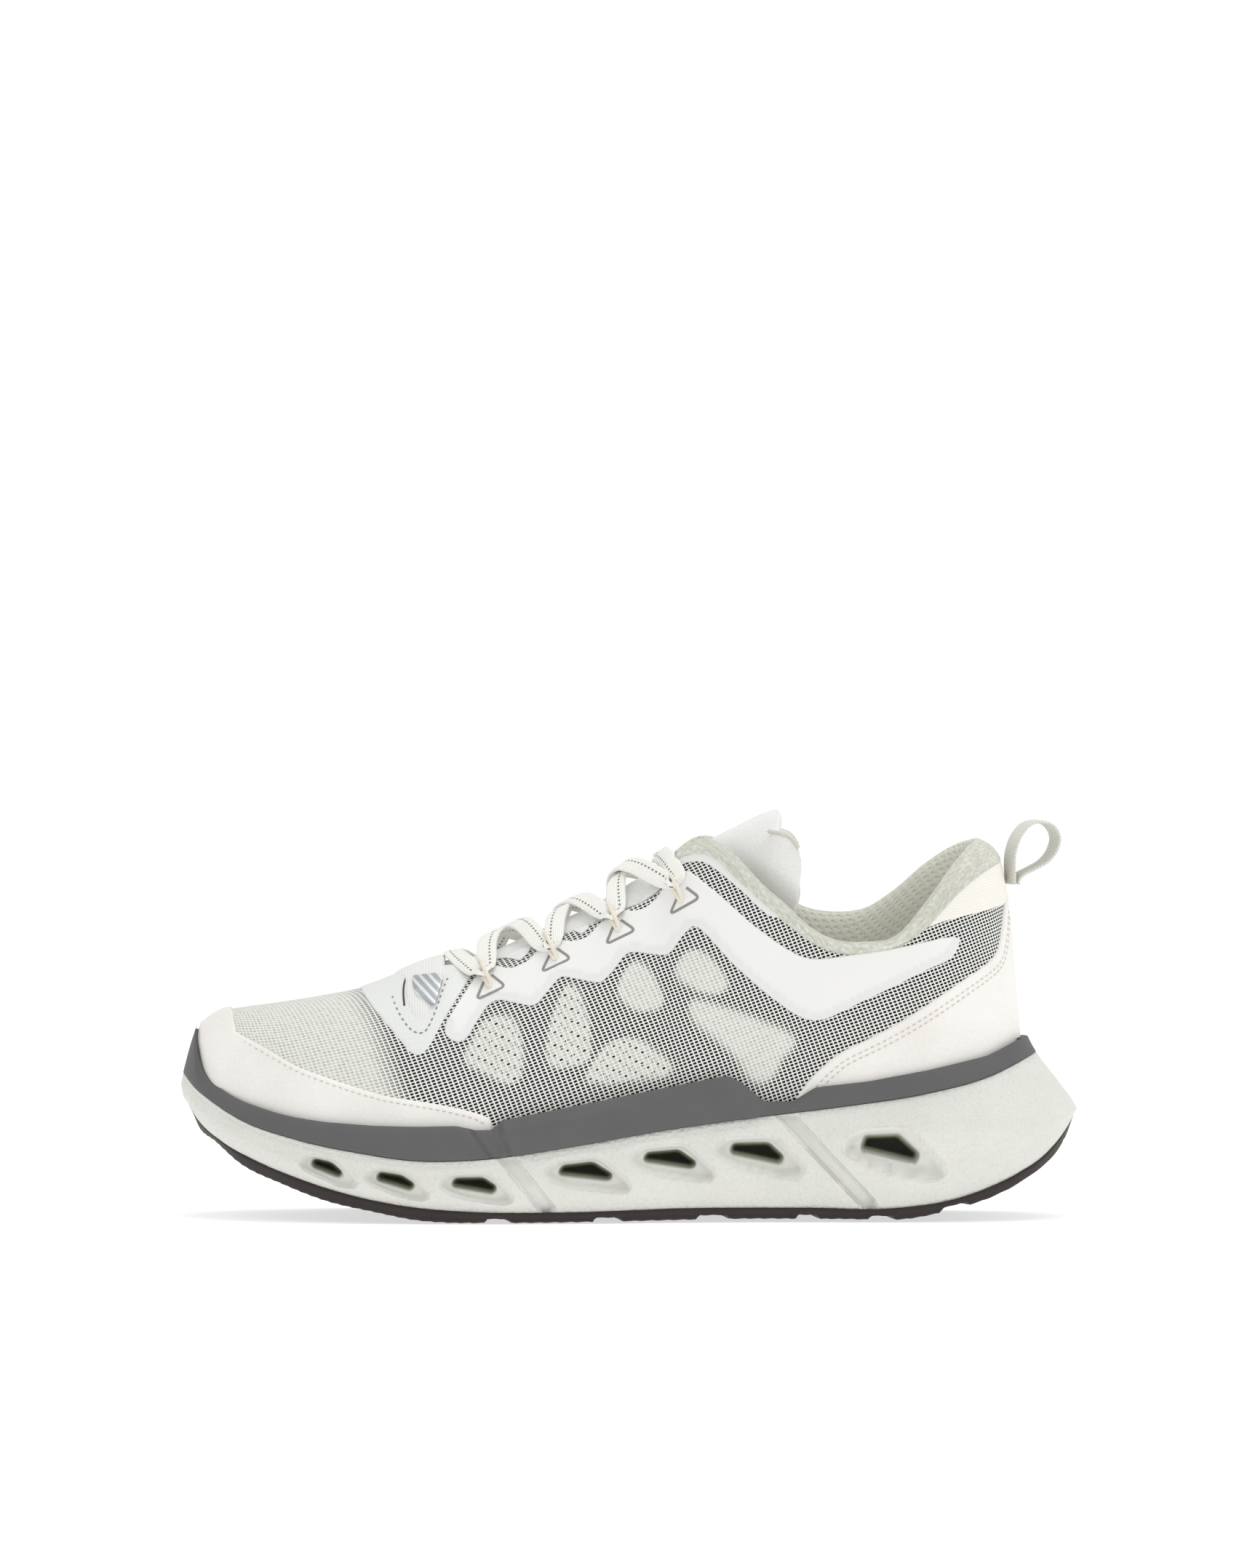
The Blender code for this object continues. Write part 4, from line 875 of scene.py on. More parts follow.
def wall_point(flat):
    """Side-view place and half width, on the wall, of (length round from the toe, height)."""
    share = np.interp(flat[:, 0], SOLE_ARC, SOLE_SHARE)
    level = flat[:, 1] / WALL_TALL
    front, rear = wall_front(level), wall_rear(level)
    x = front + (rear - front) * share
    crease = CREASE * smoothstep(45, 100, x) * np.clip(1 - np.abs(level - 0.5) / 0.5, 0, 1) ** 1.4
    half = (sole_half(x) - wall_inset(level) + crease - 0.5) * closing(x, front, rear)
    return x, wall_height(x, level), half


def wall_flat(side_view):
    """The reverse: where on the wall a side-view point lies."""
    x, z = side_view[:, 0], side_view[:, 1]
    keys = wall_heights(x)
    levels = sorted(SOLE_KEYS)
    level = np.array([np.interp(value, row, levels) for value, row in zip(z, keys)])
    share = (x - wall_front(level)) / (wall_rear(level) - wall_front(level))
    return np.stack([np.interp(share, SOLE_SHARE, SOLE_ARC), level * WALL_TALL], -1)


def window_size(window):
    """1 for a window as tall as the tallest."""
    return (window[1][1] - window[3][1]) / 8.8


def scoop_outline(window):
    """The smooth hollow round a window: a little ahead of it, and well behind and below."""
    top_left, peak, right, low_right, low_left = np.array(window)
    size = window_size(window)
    shifts = [(low_left, -7.6, 1.8), (top_left, -2.5, 2.8), (peak, 0, 3.2), (peak, 3.6, 2.3),
              (right, 9.2, -4.2), (low_right, 9.6, -5.6), (low_right, 0.5, -5.2),
              (low_left, 4.5, -5.6), (low_left, -4.5, -1.6)]
    return rounded([corner + np.array([dx, dz]) * size for corner, dx, dz in shifts], 5 * size, 0.8)


def wall_relief(x, z):
    """How deep the wall is carved, and how much of that is scoop and how much window."""
    flat = np.stack([x, z], -1)
    depth, scoop, window_olive_and_shade = np.zeros(len(x)), np.zeros(len(x)), np.zeros(len(x))
    for window in WINDOWS:
        left, right = window[0][0] - 16, window[2][0] + 16
        near = np.nonzero((x > left) & (x < right))[0]
        hollow = inside_distance(flat[near], scoop_outline(window))
        size = window_size(window)
        soft = smoothstep(-0.3, 2.4 * size, hollow)
        edge = inside_distance(flat[near], rounded(window, 1.5, 0.4))
        hole = smoothstep(-0.85 * size, 0.95 - 0.85 * size, edge)
        rim = 0.4 * smoothstep(-1.5, -0.7, edge)
        depth[near] += SCOOP_DEEP * size**0.5 * soft + rim + WINDOW_DEEP * hole
        scoop[near] = np.maximum(scoop[near], smoothstep(-0.6, 0.6, hollow))
        # How far into a window: for the olive there, and the painted shade deeper in.
        window_olive_and_shade[near] = np.maximum(window_olive_and_shade[near], smoothstep(-0.9, 1.6, edge))
    for line in CHANNELS:
        near = np.nonzero(np.abs(x - np.mean(line, axis=0)[0]) < 30)[0]
        gap, _ = line_distance(flat[near], np.array(line, float))
        groove = smoothstep(CHANNEL_WIDE / 2 + 0.35, CHANNEL_WIDE / 2 - 0.35, gap)
        depth[near] = depth[near] * (1 - groove) + CHANNEL_DEEP * groove
        smooth_part = smoothstep(CHANNEL_WIDE / 2 + 0.8, CHANNEL_WIDE / 2, gap)
        scoop[near] = np.maximum(scoop[near], smooth_part)
    lip = midsole_top(x) - z  # a fine groove runs under the top edge
    depth += 0.45 * smoothstep(0.7, 1.1, lip) * smoothstep(2.6, 1.5, lip)
    return depth, scoop, window_olive_and_shade


def wall_points():
    """Evenly spread points on the wall, with rows of them along every carved edge."""
    long = SOLE_ARC[-1]
    fill = lattice((0.6, 0.6), (long - 0.6, WALL_TALL - 0.6), 1.15)
    along = np.linspace(0, long, int(long) + 1)
    up = np.linspace(0, WALL_TALL, 24)[1:-1]
    border = [np.stack([along, np.full_like(along, v)], -1) for v in (0, WALL_TALL)]
    border += [np.stack([np.full_like(up, u), up], -1) for u in (0, long)]
    lines = []
    for window in WINDOWS:
        outline = rounded(window, 1.5, 0.5)
        lines += [offset(outline, d)
                  for d in (-1.5, -1.15, -0.85, -0.55, -0.25, 0.1, 0.5, 1.0, 1.6)]
    for line in CHANNELS:
        path = resampled(line, 0.8, False)
        across = np.array([path[1, 1] - path[0, 1], path[0, 0] - path[1, 0]])
        across /= np.linalg.norm(across)
        lines += [path + across * side * (CHANNEL_WIDE / 2 + d)
                  for side in (-1, 1) for d in (-0.7, -0.35, 0, 0.35, 0.7)]
    carved = wall_flat(np.vstack(lines))
    inside = (carved[:, 1] > 0.4) & (carved[:, 1] < WALL_TALL - 0.4)
    carved = carved[inside]
    near = np.zeros(len(fill), bool)
    for start in range(0, len(fill), CHUNK):
        part = fill[start : start + CHUNK]
        near[start : start + CHUNK] = ((part[:, None] - carved[None]) ** 2).sum(2).min(1) < 0.45**2
    return np.vstack([*border, fill[~near], carved])


def midsole():
    """Two carved walls, with a strip across the bottom and one across the top."""
    flat, faces = triangulated(wall_points())
    x, z, half = wall_point(flat)
    depth, scoop, window_olive_and_shade = wall_relief(x, z)
    depth = np.minimum(depth, np.maximum(half - 4, 0) * 0.6)
    walls, start = [], 0
    points, layers = [], {"scoop": [], "window_olive_and_shade": []}
    for side in SIDES:
        points.append(np.stack([x, sole_middle(x) + side * (half - depth), z], -1))
        walls.append(faces + start)
        start += len(flat)
        layers["scoop"].append(scoop)
        layers["window_olive_and_shade"].append(window_olive_and_shade)
    along = np.linspace(0, SOLE_ARC[-1], int(SOLE_ARC[-1]) + 1)
    across = np.linspace(-1, 1, 3)[:, None]
    for level in (0, WALL_TALL):
        x, z, half = wall_point(np.stack([along, np.full_like(along, level)], -1))
        strip = np.stack(np.broadcast_arrays(x, sole_middle(x) + across * half, z), -1)
        points.append(strip.reshape(-1, 3))
        walls.append(quads(3, len(x), start=start))
        start += 3 * len(x)
        for values in layers.values():
            values.append(np.zeros(3 * len(x)))
    layers = {key: np.concatenate(values) for key, values in layers.items()}
    faces = [face for part in walls for face in part.tolist()]
    obj = piece("midsole_moulded", np.vstack(points), faces, FOAM, "midsole_foam", weld=0.02,
                **layers)
    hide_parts("midsole")


def ring_of(front, rear, inset, height, along):
    """A ring of the sole: along is a length round it from the toe, negative on the lateral side."""
    share = np.interp(np.abs(along), SOLE_ARC, SOLE_SHARE)
    x = front + (rear - front) * share
    half = (sole_half(x) - inset(x)) * closing(x, front, rear)
    return np.stack([x, sole_middle(x) + np.where(along < 0, -1, 1) * half, height(x)], -1)


def sole_places(step):
    """Lengths round the sole: the lateral side from heel to toe, then the medial side back."""
    long = SOLE_ARC[-1]
    return np.linspace(-long, long, 2 * int(long / step) + 1)[:-1]


BAND_GROOVES = [[(-54, 32.5), (-45, 22)], [(-43.2, 34), (-39, 22)]]
BAND_RAISED = (-42, 43)  # the stretch of the grey band that stands proud
BAND_LEVELS = (0, 0.06, 0.14, 0.24, 0.34, 0.44, 0.54, 0.64, 0.72, 0.79, 0.85, 0.9, 0.94, 0.97, 1.0)
BAND_INNER = ((0.0, 0.5), (0.3, 0.9), (2.0, 1.0))  # down and in: rows inside the band's top edge
BAND_PULL = 4.0  # how far those rows go in at the toe


def raised(x):
    """1 on the raised stretch of the grey band, 0 off it."""
    start, end = BAND_RAISED
    return smoothstep(start - 0.6, start + 0.6, x) * (1 - smoothstep(end - 2, end + 3, x))


def grey_band():
    """The band round the foot of the upper: bevelled, with a proud middle stretch on each side."""
    along = sole_places(0.55)
    rings = []
    for level in BAND_LEVELS:
        out = edge_profile(level, 0.06) * 0.7 - 0.7
        bevel = smoothstep(0.62, 1.0, level)
        front, rear = -149.3 + 3.2 * level + 1.3 * level**3, 136.8 - 2.7 * level

        def inset(x):
            return (2.3 + 0.9 * level - out + 0.9 * bevel - 0.95 * raised(x) * (1 - bevel)
                    + 0.5 * smoothstep(0.92, 1.0, level))

        def height(x):
            low = midsole_top(x)
            return low + 0.15 + (frame_top(x) - low - 0.15) * level

        rings.append(ring_of(front, rear, inset, height, along))
    rings = np.stack(rings, 1)
    flat = rings[..., [0, 2]].reshape(-1, 2)
    depth = np.zeros(len(flat))
    for line in BAND_GROOVES:
        near = np.nonzero(np.abs(flat[:, 0] - line[0][0]) < 20)[0]
        gap, _ = line_distance(flat[near], np.array(line, float))
        depth[near] += 0.8 * smoothstep(1.3, 0.3, gap)
    outwards = np.sign(rings[..., 1] - sole_middle(rings[..., 0]))
    rings[..., 1] -= outwards * depth.reshape(rings.shape[:2])
    x = rings[:, -1, 0]
    inner = []
    for sink, blend in BAND_INNER:
        ring = rings[:, -1].copy()
        target = upper_half(x, ring[:, 2], 0.4)
        side = np.sign(ring[:, 1] - sole_middle(x))
        half = np.abs(ring[:, 1] - sole_middle(x))
        ring[:, 1] = sole_middle(x) + side * (half * (1 - blend) + np.minimum(target, half) * blend)
        centre = 10.0
        pull = 1 - BAND_PULL * blend / np.maximum(np.hypot(x - centre, ring[:, 1]), 1)
        tip = half < 14
        ring[tip, 0] = centre + (x[tip] - centre) * pull[tip]
        ring[:, 2] -= sink
        inner.append(ring)
    back = rings[:, 0].copy()
    back[:, 2] += 0.3
    pull = 1 - 3.5 / np.hypot(back[:, 0] - 5, back[:, 1])
    back[:, :2] = (back[:, :2] - (5, 0)) * pull[:, None] + (5, 0)
    grid = np.concatenate([rings, np.stack(inner, 1), back[:, None]], 1)
    faces = quads(len(along), grid.shape[1], wrap_rows=True, wrap_columns=True)
    obj = piece("grey_band", grid, faces, GREY_BAND, "frame_grey", weld=0.01)
    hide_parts("midsole_frame")


TREAD_GAPS = [(-49, 8), (-12, 9), (23.7, 10), (55.5, 7), (80, 8), (104.5, 9)]  # middle and width
TREAD_DEEP = 1.5


def tread():
    """The outsole: a wall with a lip, and a patterned underside with gaps across it."""
    along = sole_places(0.7)

    def line(x):
        return midsole_bottom(x) - 0.1

    def under(x):
        return np.maximum(outsole_bottom(x), 0)

    def ground(x, y):
        gap = sum(smoothstep(width / 2 + 0.5, width / 2 - 0.5, np.abs(x - middle + 0.12 * y))
                  for middle, width in TREAD_GAPS)
        groove = smoothstep(1.8, 0.8, np.abs(y + 0.08 * x - 1))
        ribs = 0.22 * (0.5 + 0.5 * np.cos(2 * math.pi * (x + 0.9 * np.abs(y)) / 4.5))
        thick = np.maximum(line(x) - under(x), 0.6)
        return under(x) + np.minimum(np.maximum(TREAD_DEEP * gap, 1.1 * groove) + ribs, 0.7 * thick)

    rings = [ring_of(-147.3, 149.3, constant(4.6), lambda x: line(x) + 0.25, along),
             ring_of(-147.4, 149.4, constant(3.9), lambda x: line(x) - 0.05, along)]
    for level in (0.2, 0.4, 0.6, 0.8, 0.93, 1.0):
        inset = 3.3 + 2.4 * level**1.6 + 0.25 * math.sin(level * 14)
        rings.append(ring_of(-147.5 + 3 * level, 149.5 - 1.9 * level, constant(inset),
                             lambda x: line(x) + (under(x) - line(x)) * level, along))
    rings = np.stack(rings, 1)
    x, y = rings[..., 0], rings[..., 1]
    share = np.linspace(0, 1, rings.shape[1]) ** 2
    lifted = ground(x[:, -1:], y[:, -1:]) - rings[:, -1:, 2]
    rings[..., 2] += np.maximum(lifted, 0) * share
    count = len(along)
    half = count // 2
    lateral = rings[: half + 1]
    medial = rings[np.concatenate([[0], np.arange(count - 1, half - 1, -1)])]
    across = np.linspace(0, 1, 61)[:, None, None]
    bottom = lateral[None, :, -1] * (1 - across) + medial[None, :, -1] * across
    bottom[..., 2] = ground(bottom[..., 0], bottom[..., 1])
    bottom[0], bottom[-1] = lateral[:, -1], medial[:, -1]
    lid = lateral[None, :, 0] * (1 - across[::30]) + medial[None, :, 0] * across[::30]
    faces = quads(count, rings.shape[1], wrap_rows=True).tolist()
    start = count * rings.shape[1]
    faces += quads(61, half + 1, start=start).tolist()
    faces += quads(3, half + 1, start=start + bottom[..., 0].size).tolist()
    points = np.vstack([rings.reshape(-1, 3), bottom.reshape(-1, 3), lid.reshape(-1, 3)])
    obj = piece("tread", points, faces, RUBBER, "outsole_rubber", weld=0.03)
    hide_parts("outsole")


# ---- the knit and what lies on it ----
UNDERLAYS = [  # is the patch punched with dots, how soft is its edge, and its side-view outline
    (1, 1.0, [(-47, 68.5), (-37.5, 68.5), (-35, 60), (-34.5, 52), (-36, 46.5), (-41, 46),
              (-56, 53.5), (-51, 62)]),
    (1, 1.0, [(-27, 51), (-12, 52.5), (-12.5, 66), (-16, 77), (-20, 80), (-24, 72), (-27, 62)]),
    (1, 1.0, [(-15.5, 46), (0, 46.5), (16, 49), (14, 53), (5, 60.5), (-3, 61.5), (-9.5, 57)]),
    (0, 1.2, [(-4.5, 76), (-1, 84), (3, 87), (8, 83), (13.5, 71.5), (3, 69)]),
    (0, 1.4, [(15, 84), (20, 91), (26, 89.5), (31.5, 83), (34.5, 78), (28, 74.5), (17, 80)]),
    (0, 3.0, [(20, 74.5), (35, 70.5), (55, 62.5), (56, 58), (51, 54), (50, 50), (46, 45.5),
              (40, 47), (37, 54), (30, 60), (21, 67)]),
]
TOE_BACKING = [(-92, 80), (-84, 66), (-76, 42), (-74, 20), (-160, 20), (-160, 90)]


def backing_of(x, z):
    """How white the inside is behind the knit, and where that white is punched with dots."""
    flat = np.stack([x, z], -1)
    toe = smoothstep(-5, 7, inside_distance(flat, resampled(TOE_BACKING, 2)))
    backing, punched = toe, np.zeros(len(flat))
    for dots, soft, corners in UNDERLAYS:
        distance = inside_distance(flat, rounded(corners, 5, 0.8))
        mask = smoothstep(-soft / 2, soft / 2, distance)
        backing = np.maximum(backing, mask)
        punched = np.maximum(punched, mask * dots)
    return backing, punched


def knit_top(side, x):
    """Top edge of the knit: the ridge over the toes, then the throat, then the collar."""
    throat = upper_height(x, throat_half(x))
    high = np.where(x > 15, np.minimum(throat, roll_edge(side, x) - 0.4), throat)
    high = np.where(x > 40, roll_edge(side, x) - 0.4, high)
    return np.where(x <= THROAT_START, ridge(x), high)


def columns_on(side, share, low, high, depth, levels, front=None, rear=None):
    """Columns of points that climb the upper, from the curve low to the curve high."""
    x = np.zeros(np.broadcast_shapes(share.shape, levels.shape))
    z = low(side, x) + 0 * x
    for _ in range(8):
        start = UPPER_FRONT + depth if front is None else front
        end = backline(z) - depth if rear is None else rear
        x = start + (end - start) * share + 0 * levels
        z = low(side, x) + (high(side, x) - low(side, x)) * levels
    tip = ((share < 1e-9) & (front is None)) | ((share > 1 - 1e-9) & (rear is None))
    half = np.where(tip, 0, upper_half(x, z, depth))
    return np.stack([x, sole_middle(x) + side * half, z], -1)


def spread(places, slopes):
    """A curve's value at even places, from the slopes it has at a few."""
    fine = np.linspace(places[0], places[-1], 400)
    slope = np.interp(fine, places, slopes)
    return fine, np.concatenate(([0], np.cumsum((slope[1:] + slope[:-1]) / 2 * np.diff(fine))))


# The slots crowd a little towards the heel, and their rows rise all along the shoe
KNIT_RUN, KNIT_STRETCHED = spread([-20, 150, 230, 400], [1, 1, 1.12, 1.12])
LIFT_PLACES, LIFT_HEIGHTS = spread([-150, -110, -80, -40, 60, 140],
                                   [0.5, 0.5, 0.38, 0.29, 0.28, 0.3])


def row_lift(x):
    return np.interp(x, LIFT_PLACES, LIFT_HEIGHTS)


def knit_skin():
    count, rise = 860, 80
    angle = np.linspace(0, 2 * math.pi, count + 1)[:-1]
    side = np.where(angle <= math.pi, -1, 1)[:, None]
    share = ((1 - np.cos(angle)) / 2)[:, None]
    levels = np.sin(math.pi / 2 * np.linspace(0, 1, rise))[None]
    grid = columns_on(side, share, lambda s, x: base(x) + 2, knit_top, 0.0, levels)
    up = lengths(grid, 1)
    around = lengths(grid[:, 18:19], 0)
    around = np.where(side < 0, around, around[count // 2] * 2 - around)
    along = np.interp(around, KNIT_RUN, KNIT_STRETCHED)
    lay = np.stack(np.broadcast_arrays(along, up - row_lift(grid[..., 0])), -1)
    backing, punched = backing_of(grid[..., 0].ravel(), grid[..., 2].ravel())
    faces = quads(count, rise, wrap_rows=True)
    obj = piece("knit_upper", grid, faces, KNIT, "knit_white", lay=lay, weld=0.01,
                backing=backing, punched=punched)
    solid(obj, 0.9)
    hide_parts("mesh_upper")


TOE_CAP_EDGE = [(-131, 62.8), (-125, 59.6), (-120, 57), (-110, 51.6), (-100, 48), (-90, 44.8),
                (-80, 42.1), (-70, 40.6), (-60, 38.9), (-52, 37), (-48, 35.6), (-45.4, 33.4),
                (-44.6, 30.4)]
TOE_CAP_FRONT = -133.5
TOE_BULGE = 2.0  # how far ahead the leather bulges over the grey band
toe_edge = smooth(TOE_CAP_EDGE)


def toe_cap_top(depth):
    """Closed over the toe; then the edge swings out from the middle line and runs back."""
    corner = TOE_CAP_EDGE[0][0]

    def height(side, x):
        out = 20 * np.sqrt(np.clip((x - TOE_CAP_FRONT) / (corner - TOE_CAP_FRONT), 0, 1))
        swing = upper_height(x, out, depth)
        behind = np.where(x < corner, swing, toe_edge(x))
        return np.where(x <= TOE_CAP_FRONT, ridge(x) - depth, behind)

    return height


def mirrored_rows(rows):
    """Lateral columns from the rear to the toe, and then medial ones back, as one grid."""
    return np.concatenate([rows[LATERAL][::-1], rows[MEDIAL][1:]], 0)


def toe_cap():
    proud, soft = 0.85, 1.6
    front, rear = UPPER_FRONT - proud, TOE_CAP_EDGE[-1][0]
    nose = front + (TOE_CAP_FRONT - front) * np.linspace(0, 1, 40) ** 2
    swing = TOE_CAP_FRONT + (TOE_CAP_EDGE[0][0] - TOE_CAP_FRONT) * np.linspace(0, 1, 12) ** 2
    places = np.concatenate([nose[:-1], swing[:-1], np.linspace(swing[-1], rear, 120)])
    share = ((places - front) / (rear - front))[:, None]
    levels = np.concatenate([np.sin(math.pi / 2 * np.linspace(0, 0.93, 30)), [1]])[None]
    rows = {}
    for side in SIDES:
        rows[side] = columns_on(side, share, lambda s, x: frame_top(x) - 3, toe_cap_top(-proud),
                                -proud, levels, front=front, rear=rear)
        rows[side][0, :, 1] = sole_middle(rows[side][0, :, 0])
    grid = mirrored_rows(rows)
    closed = grid[:, -1, 0] <= TOE_CAP_FRONT + 1e-6
    climb = lengths(grid, 1)
    left = climb[:, -1:] - climb
    sink = (proud + 0.2) * (1 - edge_profile(left, soft))
    sink[closed] = 0
    end = np.abs(grid[..., 0] - rear)
    sink = np.maximum(sink, (proud + 0.2) * (1 - edge_profile(end, soft)))
    centre = np.stack([np.clip(grid[..., 0], -118, 60), sole_middle(grid[..., 0]),
                       grid[..., 2] * 0.5 + 15], -1)
    grid = grid - sink[..., None] * unit(grid - centre)
    ahead, low = smoothstep(-122, -140, grid[..., 0]), smoothstep(66, 57, grid[..., 2])
    grid[..., 0] -= TOE_BULGE * ahead * low
    obj = piece("toe_cap_leather", grid, quads(*grid.shape[:2]), LEATHER, "leather_white",
                weld=0.01)
    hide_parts("toe_cap")


HEEL_EDGE = [(55.8, 40.5), (58, 44), (62, 49), (66, 52.5), (70, 56), (80, 60.7), (90, 66),
             (100, 72.2), (110, 79), (120, 85.3), (123, 88.5), (124.3, 93), (125.3, 100),
             (126, 106), (126.4, 112.5)]
HEEL_PANEL_LOW = [(100, 97.6), (105, 99.7), (110, 100.8), (115, 102), (120, 103), (126, 105)]


def heel_half(edge):
    """A side-view line as lengths round the heel and heights."""
    edge = np.array(edge, float)
    return np.stack([unrolled(edge[:, 0], edge[:, 1]), edge[:, 1]], -1)


def heel_outline(lateral, medial, lower):
    """A closed outline round the heel: the upper edge of each half, and the lower edge of both."""
    outline = [lateral * (-1, 1), medial[::-1], lower, (lower * (-1, 1))[::-1]]
    return resampled(np.vstack(outline), 0.9)


def heel_cap_line():
    return heel_half(rounded(HEEL_EDGE, 6, 1.0, closed=False))


def heel_overlay():
    upper = heel_cap_line()
    upper = np.vstack([upper, [0.0, 112.6]]) if upper[-1, 0] > 0.5 else upper
    x = np.linspace(57, 131, 60)
    lower = heel_half(np.stack([x, frame_top(x) - 3.0], -1))
    lower[-1, 0] = 0
    obj = panel("heel_cap_leather", heel_outline(upper, upper, lower), round_heel, LEATHER,
                "leather_white", height=1.15, soft=0.7, spacing=1.6)
    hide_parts("heel_overlay")


def heel_panel():
    lower = heel_half(rounded(HEEL_PANEL_LOW, 4, 1.0, closed=False))
    lower = np.vstack([lower, [0.0, 105.4]])
    x = np.linspace(100.5, 125, 40)
    upper = [heel_half(np.stack([x, roll_edges[side](x) + 0.2], -1)) for side in SIDES]
    for edge in upper:
        edge[-1, 0] = 0
    obj = panel("heel_twill_panel", heel_outline(*upper, lower), round_heel, TWILL, "twill_white",
                height=0.9, soft=0.7, spacing=1.5)
    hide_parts("heel_panel")


CAGE_LOW = [(-61, 65.5), (-61, 62), (-57, 59.3), (-53.5, 60.8), (-50, 67), (-46.5, 72),
            (-43.5, 73.8), (-31, 71.3), (-27, 76), (-23, 80.8), (-21.5, 81.3), (-9, 79), (-5, 83),
            (-1, 88.5), (1.5, 89.6), (12.5, 88.2), (14.5, 89.5), (18, 94.5), (21, 98), (23, 98.1),
            (26, 95.5), (35, 85.5), (45, 76.5), (55, 69), (60, 66.8), (65, 66.8), (70, 69),
            (80, 74), (90, 78.7), (100, 83.8), (107, 86.5), (109.5, 89.2), (110.9, 93)]
CAGE_BACK = [(110, 94.6), (105, 94.2), (95, 92), (85, 90.2), (75, 88.8), (65, 87.3), (60, 87.4),
             (56, 88.9), (53, 90.6), (49, 93.2), (45, 96.2), (42, 98.4), (38, 101.8), (35, 104.6),
             (31, 108.2), (28, 110.6), (25, 113), (22, 115.4), (20, 116.5), (17, 116.2)]
CAGE_SCALLOP = [(12, 111.5), (10, 107.5), (6, 104), (2, 102.8), (-2, 103.5), (-6, 101), (-9.5, 99),
                (-13, 94.5), (-17, 93), (-20.5, 92.8), (-24, 94), (-28, 91.5), (-30, 90.3),
                (-33, 86.5), (-37, 84.3), (-41, 83.8), (-44.5, 85), (-50, 82.5), (-53, 78),
                (-57, 72)]
BORDER = 3.0  # how wide the pressed border is


def cage_relief(flat, _):
    """A pressed border along the lower edge: a shallow step and a bluish tint."""
    line = np.array(CAGE_LOW, float)
    gap = np.concatenate([line_distance(flat[i : i + CHUNK], line)[0]
                          for i in range(0, len(flat), CHUNK)])
    pressed = smoothstep(BORDER + 0.3, BORDER - 0.3, gap)
    crest = np.exp(-(((gap - BORDER - 0.25) / 0.45) ** 2))
    return 0.14 * crest - 0.22 * pressed, {"border": pressed * 0.75}


def cages():
    outline = rounded(CAGE_LOW + CAGE_BACK + CAGE_SCALLOP, 2.4)
    for side in SIDES:
        obj = panel(f"cage_film_{SIDE_NAMES[side]}", outline, on_side(side), CAGE_FILM,
                    "cage_white", height=0.85, soft=0.45, spacing=1.5, relief=cage_relief)
        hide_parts(f"cage_{SIDE_NAMES[side]}")


FILM_SCALLOP = [(-50, 84.4), (-46.5, 85.6), (-44, 86.5), (-41, 87), (-38.5, 86.8), (-36, 86.3),
                (-33.5, 88.5), (-31.5, 91.6), (-28.5, 93.6), (-25, 95.2), (-22.5, 95.8),
                (-20, 96.5), (-18, 96.2), (-15.5, 95), (-13.5, 96.5), (-12, 99.8), (-8, 103),
                (-4.5, 105.2), (-2, 106), (0.5, 106.5), (3, 105.3), (5, 106.5), (6.5, 110),
                (8.5, 112.4), (13, 114.4), (17, 117.3), (19, 118.8), (22, 119.5), (25, 119.4),
                (28, 117.9), (31, 115.6), (35, 112.3), (39, 108.9), (42, 105.8), (45, 103.1),
                (47, 101.6), (49, 101), (50.8, 100.9)]


def plain_border(value):
    """No relief, and the border's tint evenly all over."""
    return lambda flat, _: (0, {"border": np.full(len(flat), float(value))})


def eyestays():
    """Film along the throat and under the front of the collar roll."""
    for side in SIDES:
        x = np.linspace(15, -56, 70)
        throat = np.stack([x, upper_height(x, throat_half(x), -0.4) - 0.05], -1)
        x = np.linspace(51.5, 17, 30)
        collar = np.stack([x, roll_edges[side](x) + 0.5], -1)
        low = np.array([(-58, 83.5), (-54, 82.6)] + FILM_SCALLOP)
        outline = resampled(np.vstack([low, collar, throat]), 0.7)
        obj = panel(f"eyestay_film_{SIDE_NAMES[side]}", outline, on_side(side), PALE_FILM,
                    "film_pale", height=0.45, soft=0.3, spacing=1.3, relief=plain_border(0.1))
        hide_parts(f"eyestay_{SIDE_NAMES[side]}")


THROAT_FILM = [(-89.5, 76.4), (-85, 70.5), (-80, 65), (-75, 59.3), (-73, 56.7), (-71, 55.6),
               (-68.5, 55.7), (-66, 58), (-63, 64), (-60, 69), (-55, 77), (-51.5, 82.5)]
THROAT_STITCH = [(-78.5, 74.2), (-77, 70.3), (-74, 65.5), (-71.5, 63.2), (-69, 62.5), (-67, 63.5),
                 (-65.5, 66.5), (-64, 70), (-62, 76), (-59.5, 82)]


def throat_film():
    half = [(x, float(upper_half(x, z))) for x, z in rounded(THROAT_FILM, 3, 1.0, closed=False)]
    inner = [(x, float(throat_half(x)) + 0.6) for x in (-51.5, -58, -65, -70, -74, -76.5, -78.2)]
    one = [(-90.5, 0)] + half + inner
    outline = [(x, -y) for x, y in one] + [(-79.6, 0)] + [(x, y) for x, y in reversed(one[1:])]
    outline = resampled(outline, 0.8)
    obj = panel("throat_film", outline, on_top, PALE_FILM, "film_pale", height=0.5,
                soft=0.35, spacing=1.5, relief=plain_border(0.0))
    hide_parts("throat_overlay")


